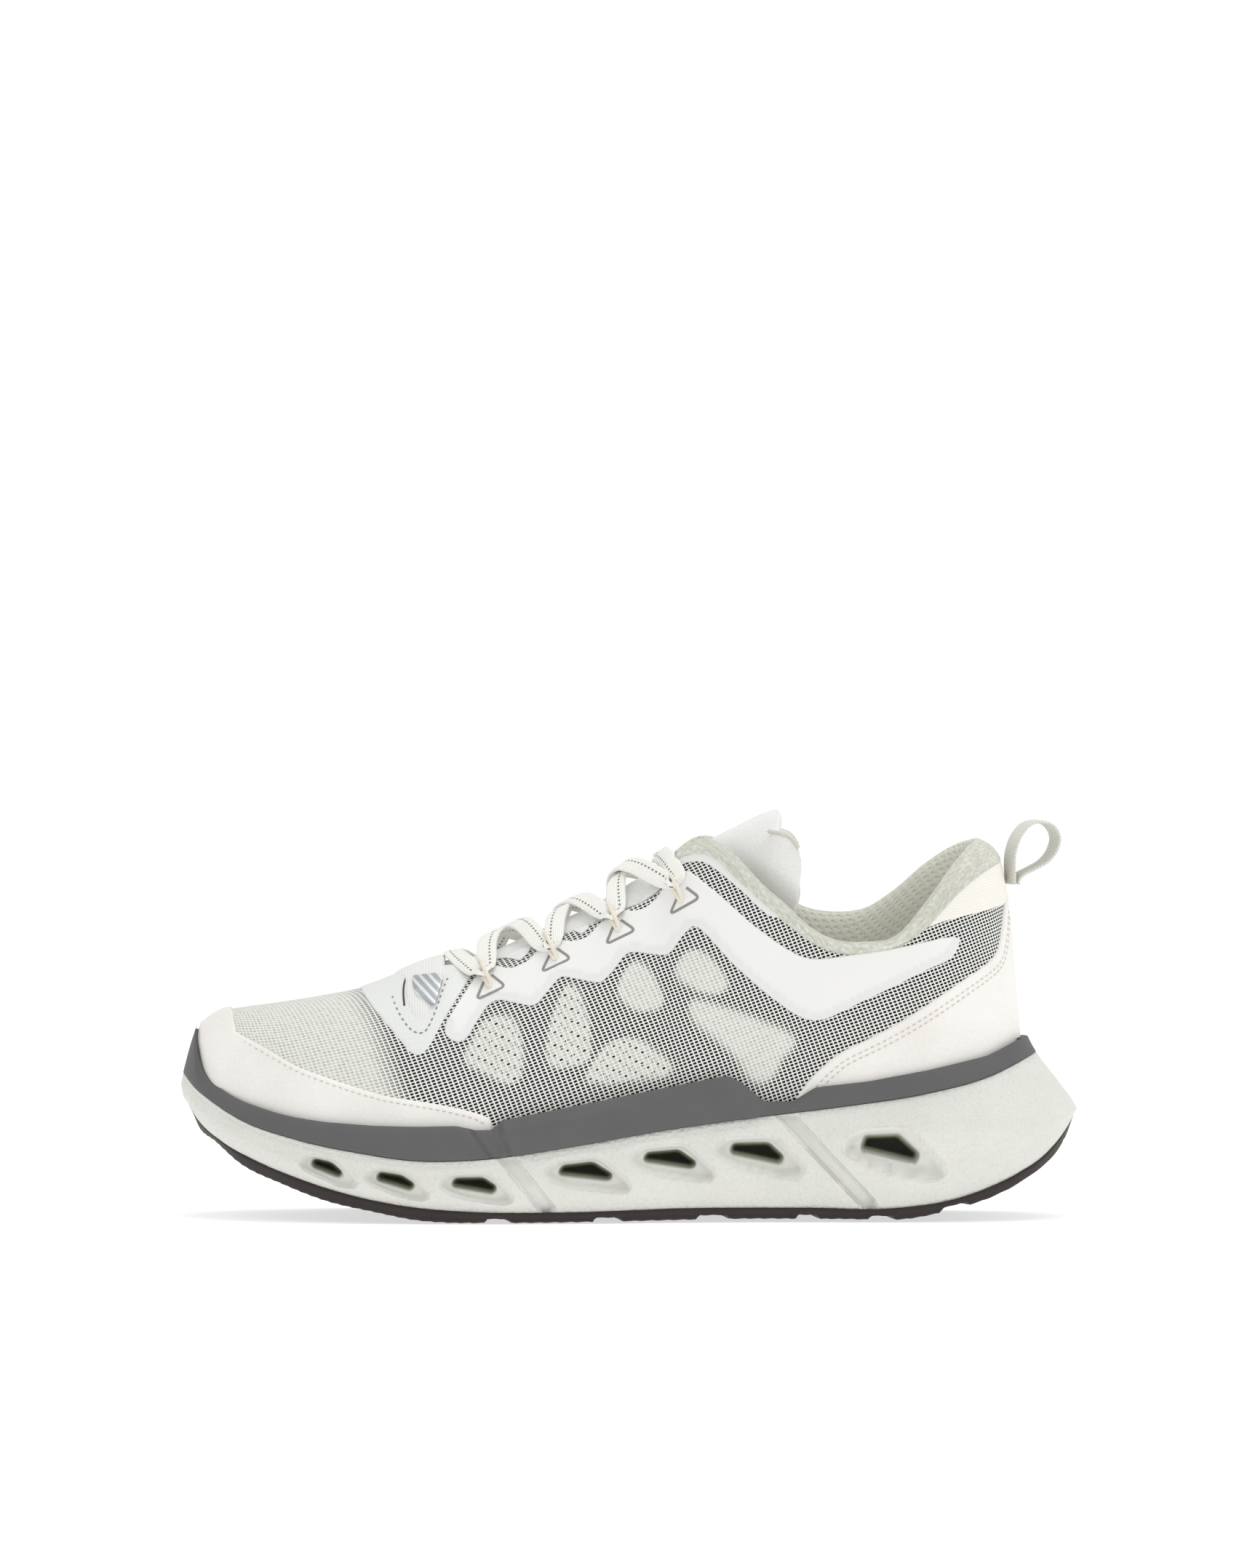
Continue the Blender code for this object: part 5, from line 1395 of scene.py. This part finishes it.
# ---- stitches and prints ----
def surface_frames(place, flat, depth):
    """Points on the form, and the way out of its surface at each."""
    depth = np.full(len(flat), depth)
    points = place(flat, depth)
    outwards = place(flat, depth - 1.0) - points
    across = place(flat + (0, 0.3), depth) - points
    ahead = place(flat + (0.3, 0), depth) - points
    normal = np.cross(ahead, across)
    normal *= np.sign((normal * outwards).sum(1, keepdims=True) + 1e-12)
    return points, unit(normal)


def capsules(points, ahead, up, long, wide, tall):
    """Little rounded bars: one for each point."""
    around, along = 8, 5
    angle = np.linspace(0, 2 * math.pi, around, endpoint=False)
    t = np.linspace(-1, 1, along)
    grow = np.sqrt(np.clip(1.04 - np.abs(t) ** 3, 0, 1))
    across = np.cross(ahead, up)
    ring = (t[:, None, None] * long / 2 * ahead[:, None, None]
            + (grow[:, None] * np.cos(angle))[..., None] * across[:, None, None] * wide / 2
            + (grow[:, None] * np.sin(angle))[..., None] * up[:, None, None] * tall / 2)
    grid = points[:, None, None] + ring
    faces = []
    size = around * along
    one = quads(along, around, wrap_columns=True)
    caps = [list(range(around))[::-1], list(range(size - around, size))]
    for k in range(len(points)):
        faces += (one + k * size).tolist()
        faces += [[i + k * size for i in cap] for cap in caps]
    return grid.reshape(-1, 3), faces


def stitch_row(line, place, depth, pitch=2.5, long=1.7, wide=0.45, tall=0.4):
    """A row of stitches along a flat line."""
    at = resampled(line, pitch, closed=False)[:-1]
    step = np.gradient(at, axis=0)
    points, normal = surface_frames(place, at, depth)
    ahead = unit(place(at + step * 0.02, np.full(len(at), depth)) - points)
    return capsules(points, ahead, normal, long, wide, tall)


def joined(name, parts, made_of, slot):
    points, faces, start = [], [], 0
    for part_points, part_faces in parts:
        points.append(part_points)
        faces += [[i + start for i in face] for face in part_faces]
        start += len(part_points)
    return piece(name, np.vstack(points), faces, made_of, slot)


def shifted_line(line, distance):
    """An open line moved sideways."""
    step = unit(np.gradient(line, axis=0))
    return line + distance * np.stack([-step[:, 1], step[:, 0]], -1)


def stitches():
    toe = shifted_line(rounded(TOE_CAP_EDGE[:-1], 4, 1.0, closed=False), -1.9)
    joined("toe_cap_stitching", [stitch_row(toe, on_side(side), -0.9, pitch=2.2, long=1.4)
                                 for side in SIDES], THREAD_WITH_SHADE, "leather_white")
    heel = [shifted_line(heel_cap_line(), inset) for inset in (2.7, 4.3)]
    heel = [line[(line[:, 0] > 3.5) & (line[:, 1] > 41)] for line in heel]
    joined("heel_cap_stitching",
           [stitch_row(line * (side, 1), round_heel, -1.2, pitch=2.3, long=1.5)
            for side in SIDES for line in heel], THREAD_WITH_SHADE, "leather_white")
    throat = rounded(THROAT_STITCH, 3, 0.7, closed=False)
    joined("throat_stitching",
           [stitch_row(throat, on_side(side), -0.55, pitch=2.0, long=1.35, wide=0.6, tall=0.3)
            for side in SIDES], GREY_THREAD, "film_pale")


TRIANGLES = [  # bottom left, right and top of the print round each lace loop
    [(-50.5, 73.6), (-40.7, 78.1), (-46.7, 82.6)], [(-28.8, 82.7), (-18.9, 87.3), (-24.7, 91.2)],
    [(-7.3, 91.9), (2.6, 96.7), (-3.6, 100.8)], [(14.0, 101.9), (24, 107.6), (18.3, 111.8)],
]


def bead(path, place, depth, wide, tall):
    """A low ridge along a flat line, as points and faces."""
    points, normal = surface_frames(place, path, depth)
    up, across = tube_frames(points, normal)
    section = oval(wide, tall * 2, 10, 2.4)
    rings = (points[:, None] + section[None, :, :1] * across[:, None]
             + section[None, :, 1:] * up[:, None])
    count, total = len(section), len(path) * len(section)
    faces = quads(len(path), count, wrap_columns=True).tolist()
    faces += [list(range(count)), list(range(total - count, total))]
    return rings.reshape(-1, 3), faces


def triangle_prints():
    parts = []
    for side in SIDES:
        for low_left, right, top in np.array(TRIANGLES):
            left_end = low_left + (top - low_left) * 0.66
            right_end = right + (top - right) * 0.78
            path = rounded([left_end, low_left, right, right_end], 1.9, 0.35, closed=False)
            parts.append(bead(path, on_side(side), -0.85, 1.0, 0.12))
    joined("loop_prints", parts, GREY_PRINT, "frame_grey")


# ---- collar, insole ----
COLLAR_FRONT = 16
collar_padding = smooth([(COLLAR_FRONT, 0.5), (35, 0.7), (55, 1), (132, 1)])


def through(points, steps, axis=1):
    """A finer grid whose columns run smoothly through the given points."""
    points = np.moveaxis(points, axis, 0)
    slope = np.gradient(points, axis=0)
    at = np.linspace(0, len(points) - 1, steps)
    i = np.minimum(at.astype(int), len(points) - 2)
    t = (at - i).reshape(-1, *[1] * (points.ndim - 1))
    a, b, start, end = points[i], points[i + 1], slope[i], slope[i + 1]
    bend = 3 * (b - a) - 2 * start - end
    return np.moveaxis(a + t * (start + t * (bend + t * (start + end - 2 * (b - a)))), 0, axis)


def collar_columns(section, count):
    """The collar's cross-section, carried along each side from its front to the heel's back."""
    share = np.sin(math.pi / 2 * np.linspace(0, 1, count))
    rows = {}
    for side in SIDES:
        sides = np.full(count, side)
        tip = share > 1 - 1e-9
        sides[tip] = LATERAL
        columns = []
        for z_of, depth_of in section:
            x = np.full(count, float(COLLAR_FRONT))
            for _ in range(8):
                z, depth = z_of(sides, x), depth_of(x)
                x = COLLAR_FRONT + (backline(z) - depth - COLLAR_FRONT) * share
            half = np.where(tip, 0, upper_half(x, z, depth))
            columns.append(np.stack([x, sole_middle(x) + side * half, z], -1))
        rows[side] = np.stack(columns, 1)
    return rows


def under_top(drop):
    return lambda side, x: topline(side, x) - drop


def on_roll(share):
    return lambda side, x: roll_edge(side, x) + share * (topline(side, x) - roll_edge(side, x))


def thick(full):
    return lambda x: full * collar_padding(x)


COLLAR_SECTION = [  # from the roll's edge over the top and down inside: height and depth
    (lambda side, x: roll_edge(side, x) - 0.9, constant(0.2)),
    (on_roll(0.0), constant(-0.75)), (on_roll(0.3), constant(-0.95)),
    (on_roll(0.65), constant(-0.45)), (under_top(0.5), thick(1.5)), (under_top(0), thick(3.2)),
    (under_top(0.9), thick(5.2)), (under_top(3.5), thick(6.9)), (under_top(9), thick(8.1)),
    (under_top(16), thick(7.4)), (under_top(24), thick(5.9)),
    (lambda side, x: 0.5 * base(x) + 0.5 * topline(side, x) - 8, constant(4.6)),
    (lambda side, x: base(x) + 2.4, constant(4.2)),
]
INSIDE_STARTS = 0.43  # share of the section where the roll turns in


def collar():
    rows = collar_columns(COLLAR_SECTION, 150)
    grid = np.concatenate([rows[LATERAL], rows[MEDIAL][::-1][1:]], 0)
    grid = through(grid, 90)
    down = lengths(grid, 1)
    along = lengths(grid[:, 35:36], 0)
    lay = np.stack(np.broadcast_arrays(along, down), -1)
    place = np.broadcast_to(np.linspace(0, 1, 90)[None], grid.shape[:2])
    inside = smoothstep(INSIDE_STARTS - 0.05, INSIDE_STARTS + 0.05, place)
    obj = piece("collar_padding", grid, quads(*grid.shape[:2]), COLLAR, "collar_knit", lay=lay,
                inside=inside)
    solid(obj, 0.8, 0.0)
    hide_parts("collar_lining")


def insole():
    count, across = 220, 41
    share = ((1 - np.cos(np.linspace(0, math.pi, count))) / 2)[:, None]
    depth = 4.6
    x = UPPER_FRONT + depth + (backline(40.0) - 2 * depth - UPPER_FRONT) * share
    height = base(x) + 5.2
    half = upper_half(x, height, depth)
    s = np.linspace(-1, 1, across)[None]
    cup = 2.6 * np.abs(s) ** 5 + 1.2 * np.exp(-(((x + 8) / 30) ** 2)) * smoothstep(0.1, 1, s)
    grid = np.stack(np.broadcast_arrays(x, sole_middle(x) + s * half, height + cup), -1)
    obj = piece("sock_liner", grid, quads(count, across), SOCK, "insole_foam", lay=grid[..., :2],
                weld=0.01)
    solid(obj, 3.2)
    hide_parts("insole")


# ---- tongue ----
def tongue():
    count, across = 90, 33
    x = np.linspace(-77, 12, count)[:, None]
    s = np.linspace(-1, 1, across)[None]
    half = 10 + 12 * np.clip((x + 77) / 25, 0, 1) - 8 * np.clip((x + 10) / 22, 0, 1)
    depth = 2.2 - 0.9 * (1 - s**2) * smoothstep(-77, -60, x)
    y = half * s
    grid = np.stack(np.broadcast_arrays(x, sole_middle(x) + y, upper_height(x, y, depth)), -1)
    lay = np.stack(np.broadcast_arrays(x, y), -1)
    obj = piece("tongue_padding", grid, quads(count, across), TONGUE_CLOTH, "tongue_white", lay=lay)
    solid(obj, 3.0)
    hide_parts("tongue")


# The free end of the tongue, side view; its top edge also says how far across each point is
FLAP_SPINE = [(13.6, 118.6), (20, 122.4), (28, 126.9), (38, 131.9), (45, 135.2), (50.2, 136.6)]
FLAP_REAR = [(50, 96), (54.5, 100), (56.6, 106), (57.4, 113), (57.9, 119), (56.9, 124)]
FLAP_TOP = [(50.2, 136.6, 0), (50.9, 135.2, 0.2), (49.6, 131.6, 0.42), (47.6, 129.4, 0.55),
            (50.5, 128.9, 0.75), (54.4, 127.4, 0.9), (56.9, 124, 1)]
FLAP_HALF = (13, 21)  # at its base and at its top
FLAP_MIDDLE = -3.2  # the tongue's middle line there


def even_line(points, count):
    """A smooth line through the points, as evenly spaced points."""
    fine = through(np.array(points, float)[None], 200)[0]
    run = run_along(fine[:, :2])
    at = np.linspace(0, run[-1], count)
    return np.stack([np.interp(at, run, fine[:, k]) for k in range(fine.shape[1])], -1)


def tongue_flap():
    """The free end of the tongue: a padded half tube with a notch on each side of its tip."""
    up, out = 60, 40
    t, s = np.linspace(0, 1, up)[:, None], np.linspace(0, 1, out)[None]
    spine, rear = even_line(FLAP_SPINE, up), even_line(FLAP_REAR, up)
    top = even_line(FLAP_TOP, out)
    low = np.stack([np.interp(s[0], (0, 1), (spine[0, k], rear[0, k])) for k in (0, 1)], -1)
    low[:, 0] += 5 * np.sin(math.pi * s[0])
    low[:, 1] -= 2 * np.sin(math.pi * s[0])
    flat = ((1 - s)[..., None] * spine[:, None] + s[..., None] * rear[:, None]
            + (1 - t)[..., None] * low[None] + t[..., None] * top[None, :, :2]
            - (1 - t)[..., None] * ((1 - s)[..., None] * low[0] + s[..., None] * low[-1])
            - t[..., None] * ((1 - s)[..., None] * top[0, :2] + s[..., None] * top[-1, :2]))
    across = (1 - t) * np.sin(s * math.pi / 2) + t * np.sin(top[None, :, 2] * math.pi / 2)
    half = (FLAP_HALF[0] + (FLAP_HALF[1] - FLAP_HALF[0]) * smoothstep(0, 0.6, t)) * across
    x, z = flat[..., 0], flat[..., 1]
    lateral, medial = [np.stack([x, FLAP_MIDDLE + side * half, z], -1) for side in SIDES]
    grid = np.concatenate([lateral[:, ::-1], medial[:, 1:]], 1)
    lay = np.stack([lengths(grid, 1), lengths(grid, 0)], -1)
    obj = piece("tongue_flap", grid, quads(*grid.shape[:2]), TONGUE_CLOTH, "tongue_white", lay=lay,
                body="tongue_top_body")
    solid(obj, 2.6)
    soften = obj.modifiers.new("Soft", "SUBSURF")
    soften.levels = soften.render_levels = 1
    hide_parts("tongue_top")
    edge = grid[-1]
    for side in SIDES:
        near = (edge[:, 1] - FLAP_MIDDLE) * side > 0
        bound = edge[near & (edge[:, 2] < 129.6) & (edge[:, 0] > 46)]
        up = np.repeat([[0.0, 1.0, 0.0]], len(bound), 0)
        sweep(f"tongue_hem_{SIDE_NAMES[side]}", bound, up, oval(1.5, 2.6, 14), HEM, "tongue_white",
              body="tongue_top_body")


KEEPER_EDGE = [(-72.4, 81.2), (-71.2, 75.4), (-64.3, 71.4), (-61.5, 80.9), (-64, 82.3)]
GUSSET_EDGE = [(-79.4, 80.3), (-77.2, 80.5), (-75, 80.3), (-74.3, 78), (-74.2, 73.5), (-72.6, 69),
               (-70.4, 66.2), (-68.6, 65.9), (-67, 67.6), (-65.2, 71.5), (-63.4, 76.5),
               (-61.2, 82.6)]
# Painted shadow: where the dark bead lies, for the shadow of the film's inner edge.
SHADOW_LINE = [(-72.4, 83), (-74.6, 79.6), (-75, 76), (-74.5, 71.5)]
KEEPER_PROUD = 1.1  # how far the keeper stands off the knit, over the cloth


def over_middle(half_line):
    """A closed plan outline from a side-view line that runs from the ridge down and back up."""
    half = np.array([(x, float(upper_half(x, z))) for x, z in half_line])
    return np.vstack([half * (1, -1), half[::-1]])


def throat_cover():
    """The bottom of the throat: soft white cloth, a dark bead as painted shadow at its edge, and
    the grey lace keeper.
    """
    outline = resampled(over_middle(rounded(GUSSET_EDGE, 2, 0.8, closed=False)), 0.8)
    obj = panel("throat_gusset", outline, on_top, GUSSET, "tongue_white", height=1.25,
                soft=2.2, spacing=1.5)
    for side in SIDES:
        def above(flat, depth):
            return on_side(side)(flat, depth - KEEPER_PROUD)

        obj = panel(f"lace_keeper_{SIDE_NAMES[side]}", rounded(KEEPER_EDGE, 1.2, 0.7), above,
                    REFLECTIVE, "keeper_grey", height=0.7, soft=0.4, spacing=1.5)
        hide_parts("tongue_keeper")
    # Painted shadow: a dark bead stands for the shadow of the film's inner edge at the gusset.
    path = rounded(SHADOW_LINE, 2, 0.5, closed=False)
    joined("throat_painted_shadow", [bead(path, on_side(side), -0.5, 0.7, 0.22) for side in SIDES],
           PAINTED_EDGE_SHADOW, "frame_grey")


# ---- lace and what holds it ----
# Where the lace turns in its loops, side view, toe end first
ANCHORS = [(-48.3, 81.7), (-26, 90.3), (-5, 100.6), (15.2, 111.3)]
LACE_DEPTH = -2.6  # middle of the lace where it lies on the overlays
# The lace round a loop, out to the strand that comes from ahead and to the one from behind:
# along, up, and how gathered it is
TURN_AHEAD = [(-0.8, 0.2, 1), (-2.0, 0.9, 0.7), (-3.2, 1.8, 0.25)]
TURN_BACK = [(0.7, 0.5, 1), (1.2, 1.9, 0.7), (1.4, 3.6, 0.25)]
OVER = [(0, 9.5), (-2.5, 8), (-6, 9)]  # how a strand bows along and up, between each two loops
UNDER = [(-6.5, 6.5), (-5, 5.5), (-6, 6.5)]
BAR, LAST = (-7, 5), (-2.5, 6)  # the same for the bar at the toe end and the strand to the top
LACE_END = [(3.2, 4.6), (5.6, 5.6), (8.2, 4.2), (10.4, 0.8), (12.4, -3.6), (14.2, -8.4)]
LACE_WIDE, LACE_THICK = 6.8, 1.4


def surface_normal(points):
    """The way out of the upper's form at places on or near it."""

    def level(p):
        x, y, z = p.T
        power = fullness(x)
        side = np.maximum(upper_side(x, z, 0.0), 1e-3)
        tall = np.clip((z - base(x)) / (ridge(x) - base(x)), 0, None)
        return (np.abs(y - sole_middle(x)) / side) ** power + tall**power

    steps = np.eye(3) * 0.2
    slope = np.stack([level(points + step) - level(points - step) for step in steps], -1)
    return unit(slope)


def lace_place(side, x, z, depth=LACE_DEPTH):
    return (x, float(sole_middle(x) + side * upper_half(x, z, depth)), z)


def lace_turn(number, side, from_ahead):
    """Down to a loop, round, and up again; the last value is how gathered the lace is."""
    x, z = ANCHORS[number]
    first, last = (TURN_AHEAD, TURN_BACK) if from_ahead else (TURN_BACK, TURN_AHEAD)
    steps = first[::-1] + [(0, -0.1, 1)] + last
    return [(*lace_place(side, x + dx, z + dz), gathered) for dx, dz, gathered in steps]


def lace_span(start, end, bow):
    """From one side to the other, bowed forward and up, and never into the tongue."""
    points = []
    for share in np.linspace(0, 1, 13)[1:-1]:
        x, y, z = (a + (b - a) * share for a, b in zip(start[:3], end[:3]))
        x += bow[0] * math.sin(math.pi * share)
        z += bow[1] * math.sin(math.pi * share)
        lowest = float(upper_height(x, y - float(sole_middle(x)), -1.2))
        points.append((x, y, max(z, lowest), 0.0))
    return points


def lace_route():
    """One lace, from the top down one set of loops to the bar, and up the other."""
    turns = [(3, LATERAL), (2, MEDIAL), (1, LATERAL), (0, MEDIAL),
             (0, LATERAL), (1, MEDIAL), (2, LATERAL), (3, MEDIAL)]
    placed = [lace_turn(number, side, i >= 4) for i, (number, side) in enumerate(turns)]
    top_x, top_z = ANCHORS[3]
    points = lace_span(lace_place(MEDIAL, top_x - 5, top_z + 4.4), placed[0][0], LAST)[4:]
    for i, turn in enumerate(placed):
        points += turn
        if i == len(turns) - 1:
            break
        (number, side), (following, _) = turns[i], turns[i + 1]
        bow = BAR
        if number != following:
            over = (number > following) == (side == LATERAL)
            bow = (OVER if over else UNDER)[min(number, following)]
        points += lace_span(turn[-1], placed[i + 1][0], bow)
    return points + [(*lace_place(MEDIAL, top_x + x, top_z + z), 0.0) for x, z in LACE_END]


def lace():
    route = np.array(lace_route())
    fine = through(route[None], len(route) * 7)[0]
    run = run_along(fine[:, :3])
    even = np.linspace(0, run[-1], int(run[-1] / 0.55))
    path = np.stack([np.interp(even, run, fine[:, k]) for k in range(4)], -1)
    for _ in range(4):
        path[1:-1] = 0.25 * path[:-2] + 0.5 * path[1:-1] + 0.25 * path[2:]
    points, gathered = path[:, :3], np.clip(path[:, 3], 0, 1)
    normal = surface_normal(points)
    off = points[:, 1] - sole_middle(points[:, 0])
    normal[:, 1] += np.sign(off) * 0.9 * smoothstep(2, 14, np.abs(off))
    normal = unit(normal)
    ahead = unit(np.gradient(points, axis=0))
    stand = smoothstep(0.35, 1.0, gathered)[:, None] * 0.85  # it stands on edge in the loops
    wide = (1 - stand) * np.cross(ahead, normal) + stand * normal
    wide = unit(wide - (wide * ahead).sum(1, keepdims=True) * ahead)
    scale = np.stack([1 - 0.52 * gathered, 1 + 0.5 * gathered], -1)
    obj = sweep("lace_ribbon", points, np.cross(wide, ahead), oval(LACE_WIDE, LACE_THICK, 20, 3.2),
                LACE, "lace_white", scale)
    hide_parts("lace")
    taper = np.stack([np.linspace(1.15, 0.8, 12)] * 2, -1)
    for name, end, before in (("aglet_top", 0, 3), ("aglet_tail", -1, -4)):
        run = unit(points[end] - points[before])
        sheath = points[end] + np.linspace(-0.6, 9.0, 12)[:, None] * run
        tip = sweep(name + "_sheath", sheath, np.repeat(normal[end][None], 12, 0),
                    oval(2.3, 1.9, 16), AGLET, "aglet", taper)
        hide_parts(name)


# Where the thin cords leave the overlays, side view
LOOP_TIPS = [(-46, 78), (-24.3, 87), (-3.2, 96.6), (17.7, 106.3)]
LOOP_PATH = [  # from the tip, behind the lace, over it and down in front: along, up, depth
    (0.0, -0.2, -0.9), (-0.6, 0.6, -1.6), (-1.6, 2.0, -1.9), (-2.6, 3.8, -1.5), (-3.4, 5.6, -1.2),
    (-4.0, 7.4, -1.6), (-3.7, 8.6, -3.0), (-3.0, 8.2, -4.5), (-2.2, 6.6, -5.1), (-1.3, 4.8, -4.8),
    (-0.5, 3.0, -3.5), (0.2, 1.2, -2.0), (0.0, -0.2, -0.9),
]
CORD_THICK = 1.15


def lace_loops():
    for side in SIDES:
        for number, (x, z) in enumerate(LOOP_TIPS):
            path = np.array([lace_place(side, x + dx, z + dz, depth)
                             for dx, dz, depth in LOOP_PATH])
            fine = through(path[None], 70)[0]
            obj = sweep(f"lace_cord_{number + 1}_{SIDE_NAMES[side]}", fine, surface_normal(fine),
                        oval(CORD_THICK * 1.15, CORD_THICK, 12), CORD, "cord_cream")
            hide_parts(f"lace_loop_{number + 1}_{SIDE_NAMES[side]}")


LOOP_LINE = [(128.3, 111.2), (128.1, 114.5), (128.0, 118.5), (128.4, 122.2), (129.9, 126.7),
             (132.5, 130.3), (134.9, 131.7), (137.5, 132.1), (140.1, 131.4), (142.2, 129.6),
             (143.3, 126.9), (143.1, 124.5), (141.8, 121.4), (139, 118.4), (134.6, 116),
             (131.2, 114.3), (129.7, 112.6), (129.4, 111.2)]
LOOP_WIDE, LOOP_THICK, LOOP_Y = 10.6, 1.05, -0.9
LOOP_TURN = 18  # degrees the hanging loop is twisted from square


def pull_loop():
    line = even_line(LOOP_LINE, 110)
    turn = math.radians(LOOP_TURN)
    away = (line[:, 0] - line[0, 0]) * math.tan(turn)
    path = np.stack([line[:, 0], LOOP_Y + away, line[:, 1]], -1)
    ahead = np.gradient(path, axis=0)
    up = np.cross(ahead, np.array([-math.sin(turn), math.cos(turn), 0]))
    obj = sweep("pull_loop_webbing", path, up, oval(LOOP_WIDE, LOOP_THICK, 24, 4.5), WEBBING,
                "webbing", body="pull_loop_body")
    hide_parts("pull_loop")


# ---- hidden layers, stage, camera ----
def hidden_layers():
    """CAD nodes that stay: only their material changes."""
    patch = grained("underlay_cloth", (0.93, 0.93, 0.92), (0.86, 0.86, 0.85), 0.85, 0.6, 0.05, 0.1)
    lining = grained("vamp_lining_cloth", (0.92, 0.92, 0.90), (0.84, 0.84, 0.82), 0.9, 0.7, 0.06,
                     0.1)
    stiff = grained("stiffener_board", (0.82, 0.79, 0.73), (0.72, 0.69, 0.63), 0.75, 0.9, 0.05)
    soft = grained("collar_foam_open", (0.90, 0.85, 0.70), (0.78, 0.72, 0.55), 0.95, 0.8, 0.2)
    chosen = {"vamp_lining": lining, "toe_puff": stiff, "heel_counter": stiff,
              "strobel_board": stiff, "collar_foam": soft}
    for name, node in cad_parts.items():
        made_of = patch if name.startswith("underlay") else chosen.get(name)
        if made_of:
            node.data.materials.clear()
            node.data.materials.append(made_of)


CAMERA_FAR, CAMERA_RISE = 5000.0, 1.5  # distance, and elevation in degrees
VIEW_WIDE = 420.6  # millimetres across the picture at the shoe's middle
VIEW_MIDDLE = (-0.1, 144.7)


def camera():
    data = bpy.data.cameras.new("camera")
    data.sensor_fit = "HORIZONTAL"
    data.lens = data.sensor_width * CAMERA_FAR / VIEW_WIDE
    data.clip_end = 100
    obj = bpy.data.objects.new("camera", data)
    rise = math.radians(CAMERA_RISE)
    x, z = VIEW_MIDDLE
    obj.location = Vector((x, -CAMERA_FAR * math.cos(rise), z + CAMERA_FAR * math.sin(rise))) * MM
    obj.rotation_euler = (math.radians(90 - CAMERA_RISE), 0, 0)
    bpy.context.scene.collection.objects.link(obj)
    bpy.context.scene.camera = obj


def light(name, place, target, size, power):
    data = bpy.data.lights.new(name, "AREA")
    data.shape, data.size, data.energy = "DISK", size, power
    obj = bpy.data.objects.new(name, data)
    obj.location = place
    aim = Vector(target) - Vector(place)
    obj.rotation_euler = aim.to_track_quat("-Z", "Y").to_euler()
    bpy.context.scene.collection.objects.link(obj)


WHITE_RISE = 0.1  # how high the white behind the floor reaches; it has faded at three times that
WHITE, SKY = 1.03, 0.7  # how bright the white is, and the sky above it
FLOOR_GLOW = 1.08
LIGHTS = [  # place, target, size and power
    ("key", (-0.5, -1.2, 1.5), (0, 0, 0.05), 1.0, 1.7),
    ("top", (0.2, 0.1, 1.8), (0, 0, 0.05), 1.3, 11.0),
    ("side", (1.4, -0.5, 0.7), (0.1, 0, 0.06), 0.8, 2.2),
]


def stage():
    """A pale floor that shines like the white round it, a sky, and the lights."""
    shader = Shader("pale_floor", 0.9, Specular_IOR_Level=0.1)
    speck = shader.noise(3.0, None, 2.0)
    pale = shader.mix(speck, (0.78, 0.78, 0.78), (0.79, 0.79, 0.79))
    shader.set("Base Color", pale)
    shader.set("Emission Color", pale)
    shader.set("Emission Strength", FLOOR_GLOW)
    bpy.ops.mesh.primitive_plane_add(size=3, location=(0, 0.9, -0.0003))
    floor = bpy.context.object
    floor.name = "floor"
    floor.data.materials.append(shader.material)
    world = bpy.data.worlds.new("studio")
    world.use_nodes = True
    tree = world.node_tree
    around = tree.nodes.new("ShaderNodeTexCoord")
    split = tree.nodes.new("ShaderNodeSeparateXYZ")
    tree.links.new(around.outputs["Generated"], split.inputs[0])
    fade = tree.nodes.new("ShaderNodeMapRange")
    for key, value in enumerate((WHITE_RISE, WHITE_RISE * 3, WHITE, SKY), 1):
        fade.inputs[key].default_value = value
    tree.links.new(split.outputs["Z"], fade.inputs[0])
    tree.links.new(fade.outputs[0], tree.nodes["Background"].inputs[1])
    tree.nodes["Background"].inputs[0].default_value = (1, 1, 1, 1)
    bpy.context.scene.world = world
    bpy.context.scene.view_settings.view_transform = "Standard"
    for row in LIGHTS:
        light(*row)


for build in (camera, stage, midsole, grey_band, tread, knit_skin, toe_cap, heel_overlay,
              heel_panel, cages, eyestays, throat_film, stitches, triangle_prints, collar, insole,
              tongue, tongue_flap, throat_cover, lace, lace_loops, pull_loop, hidden_layers):
    build()
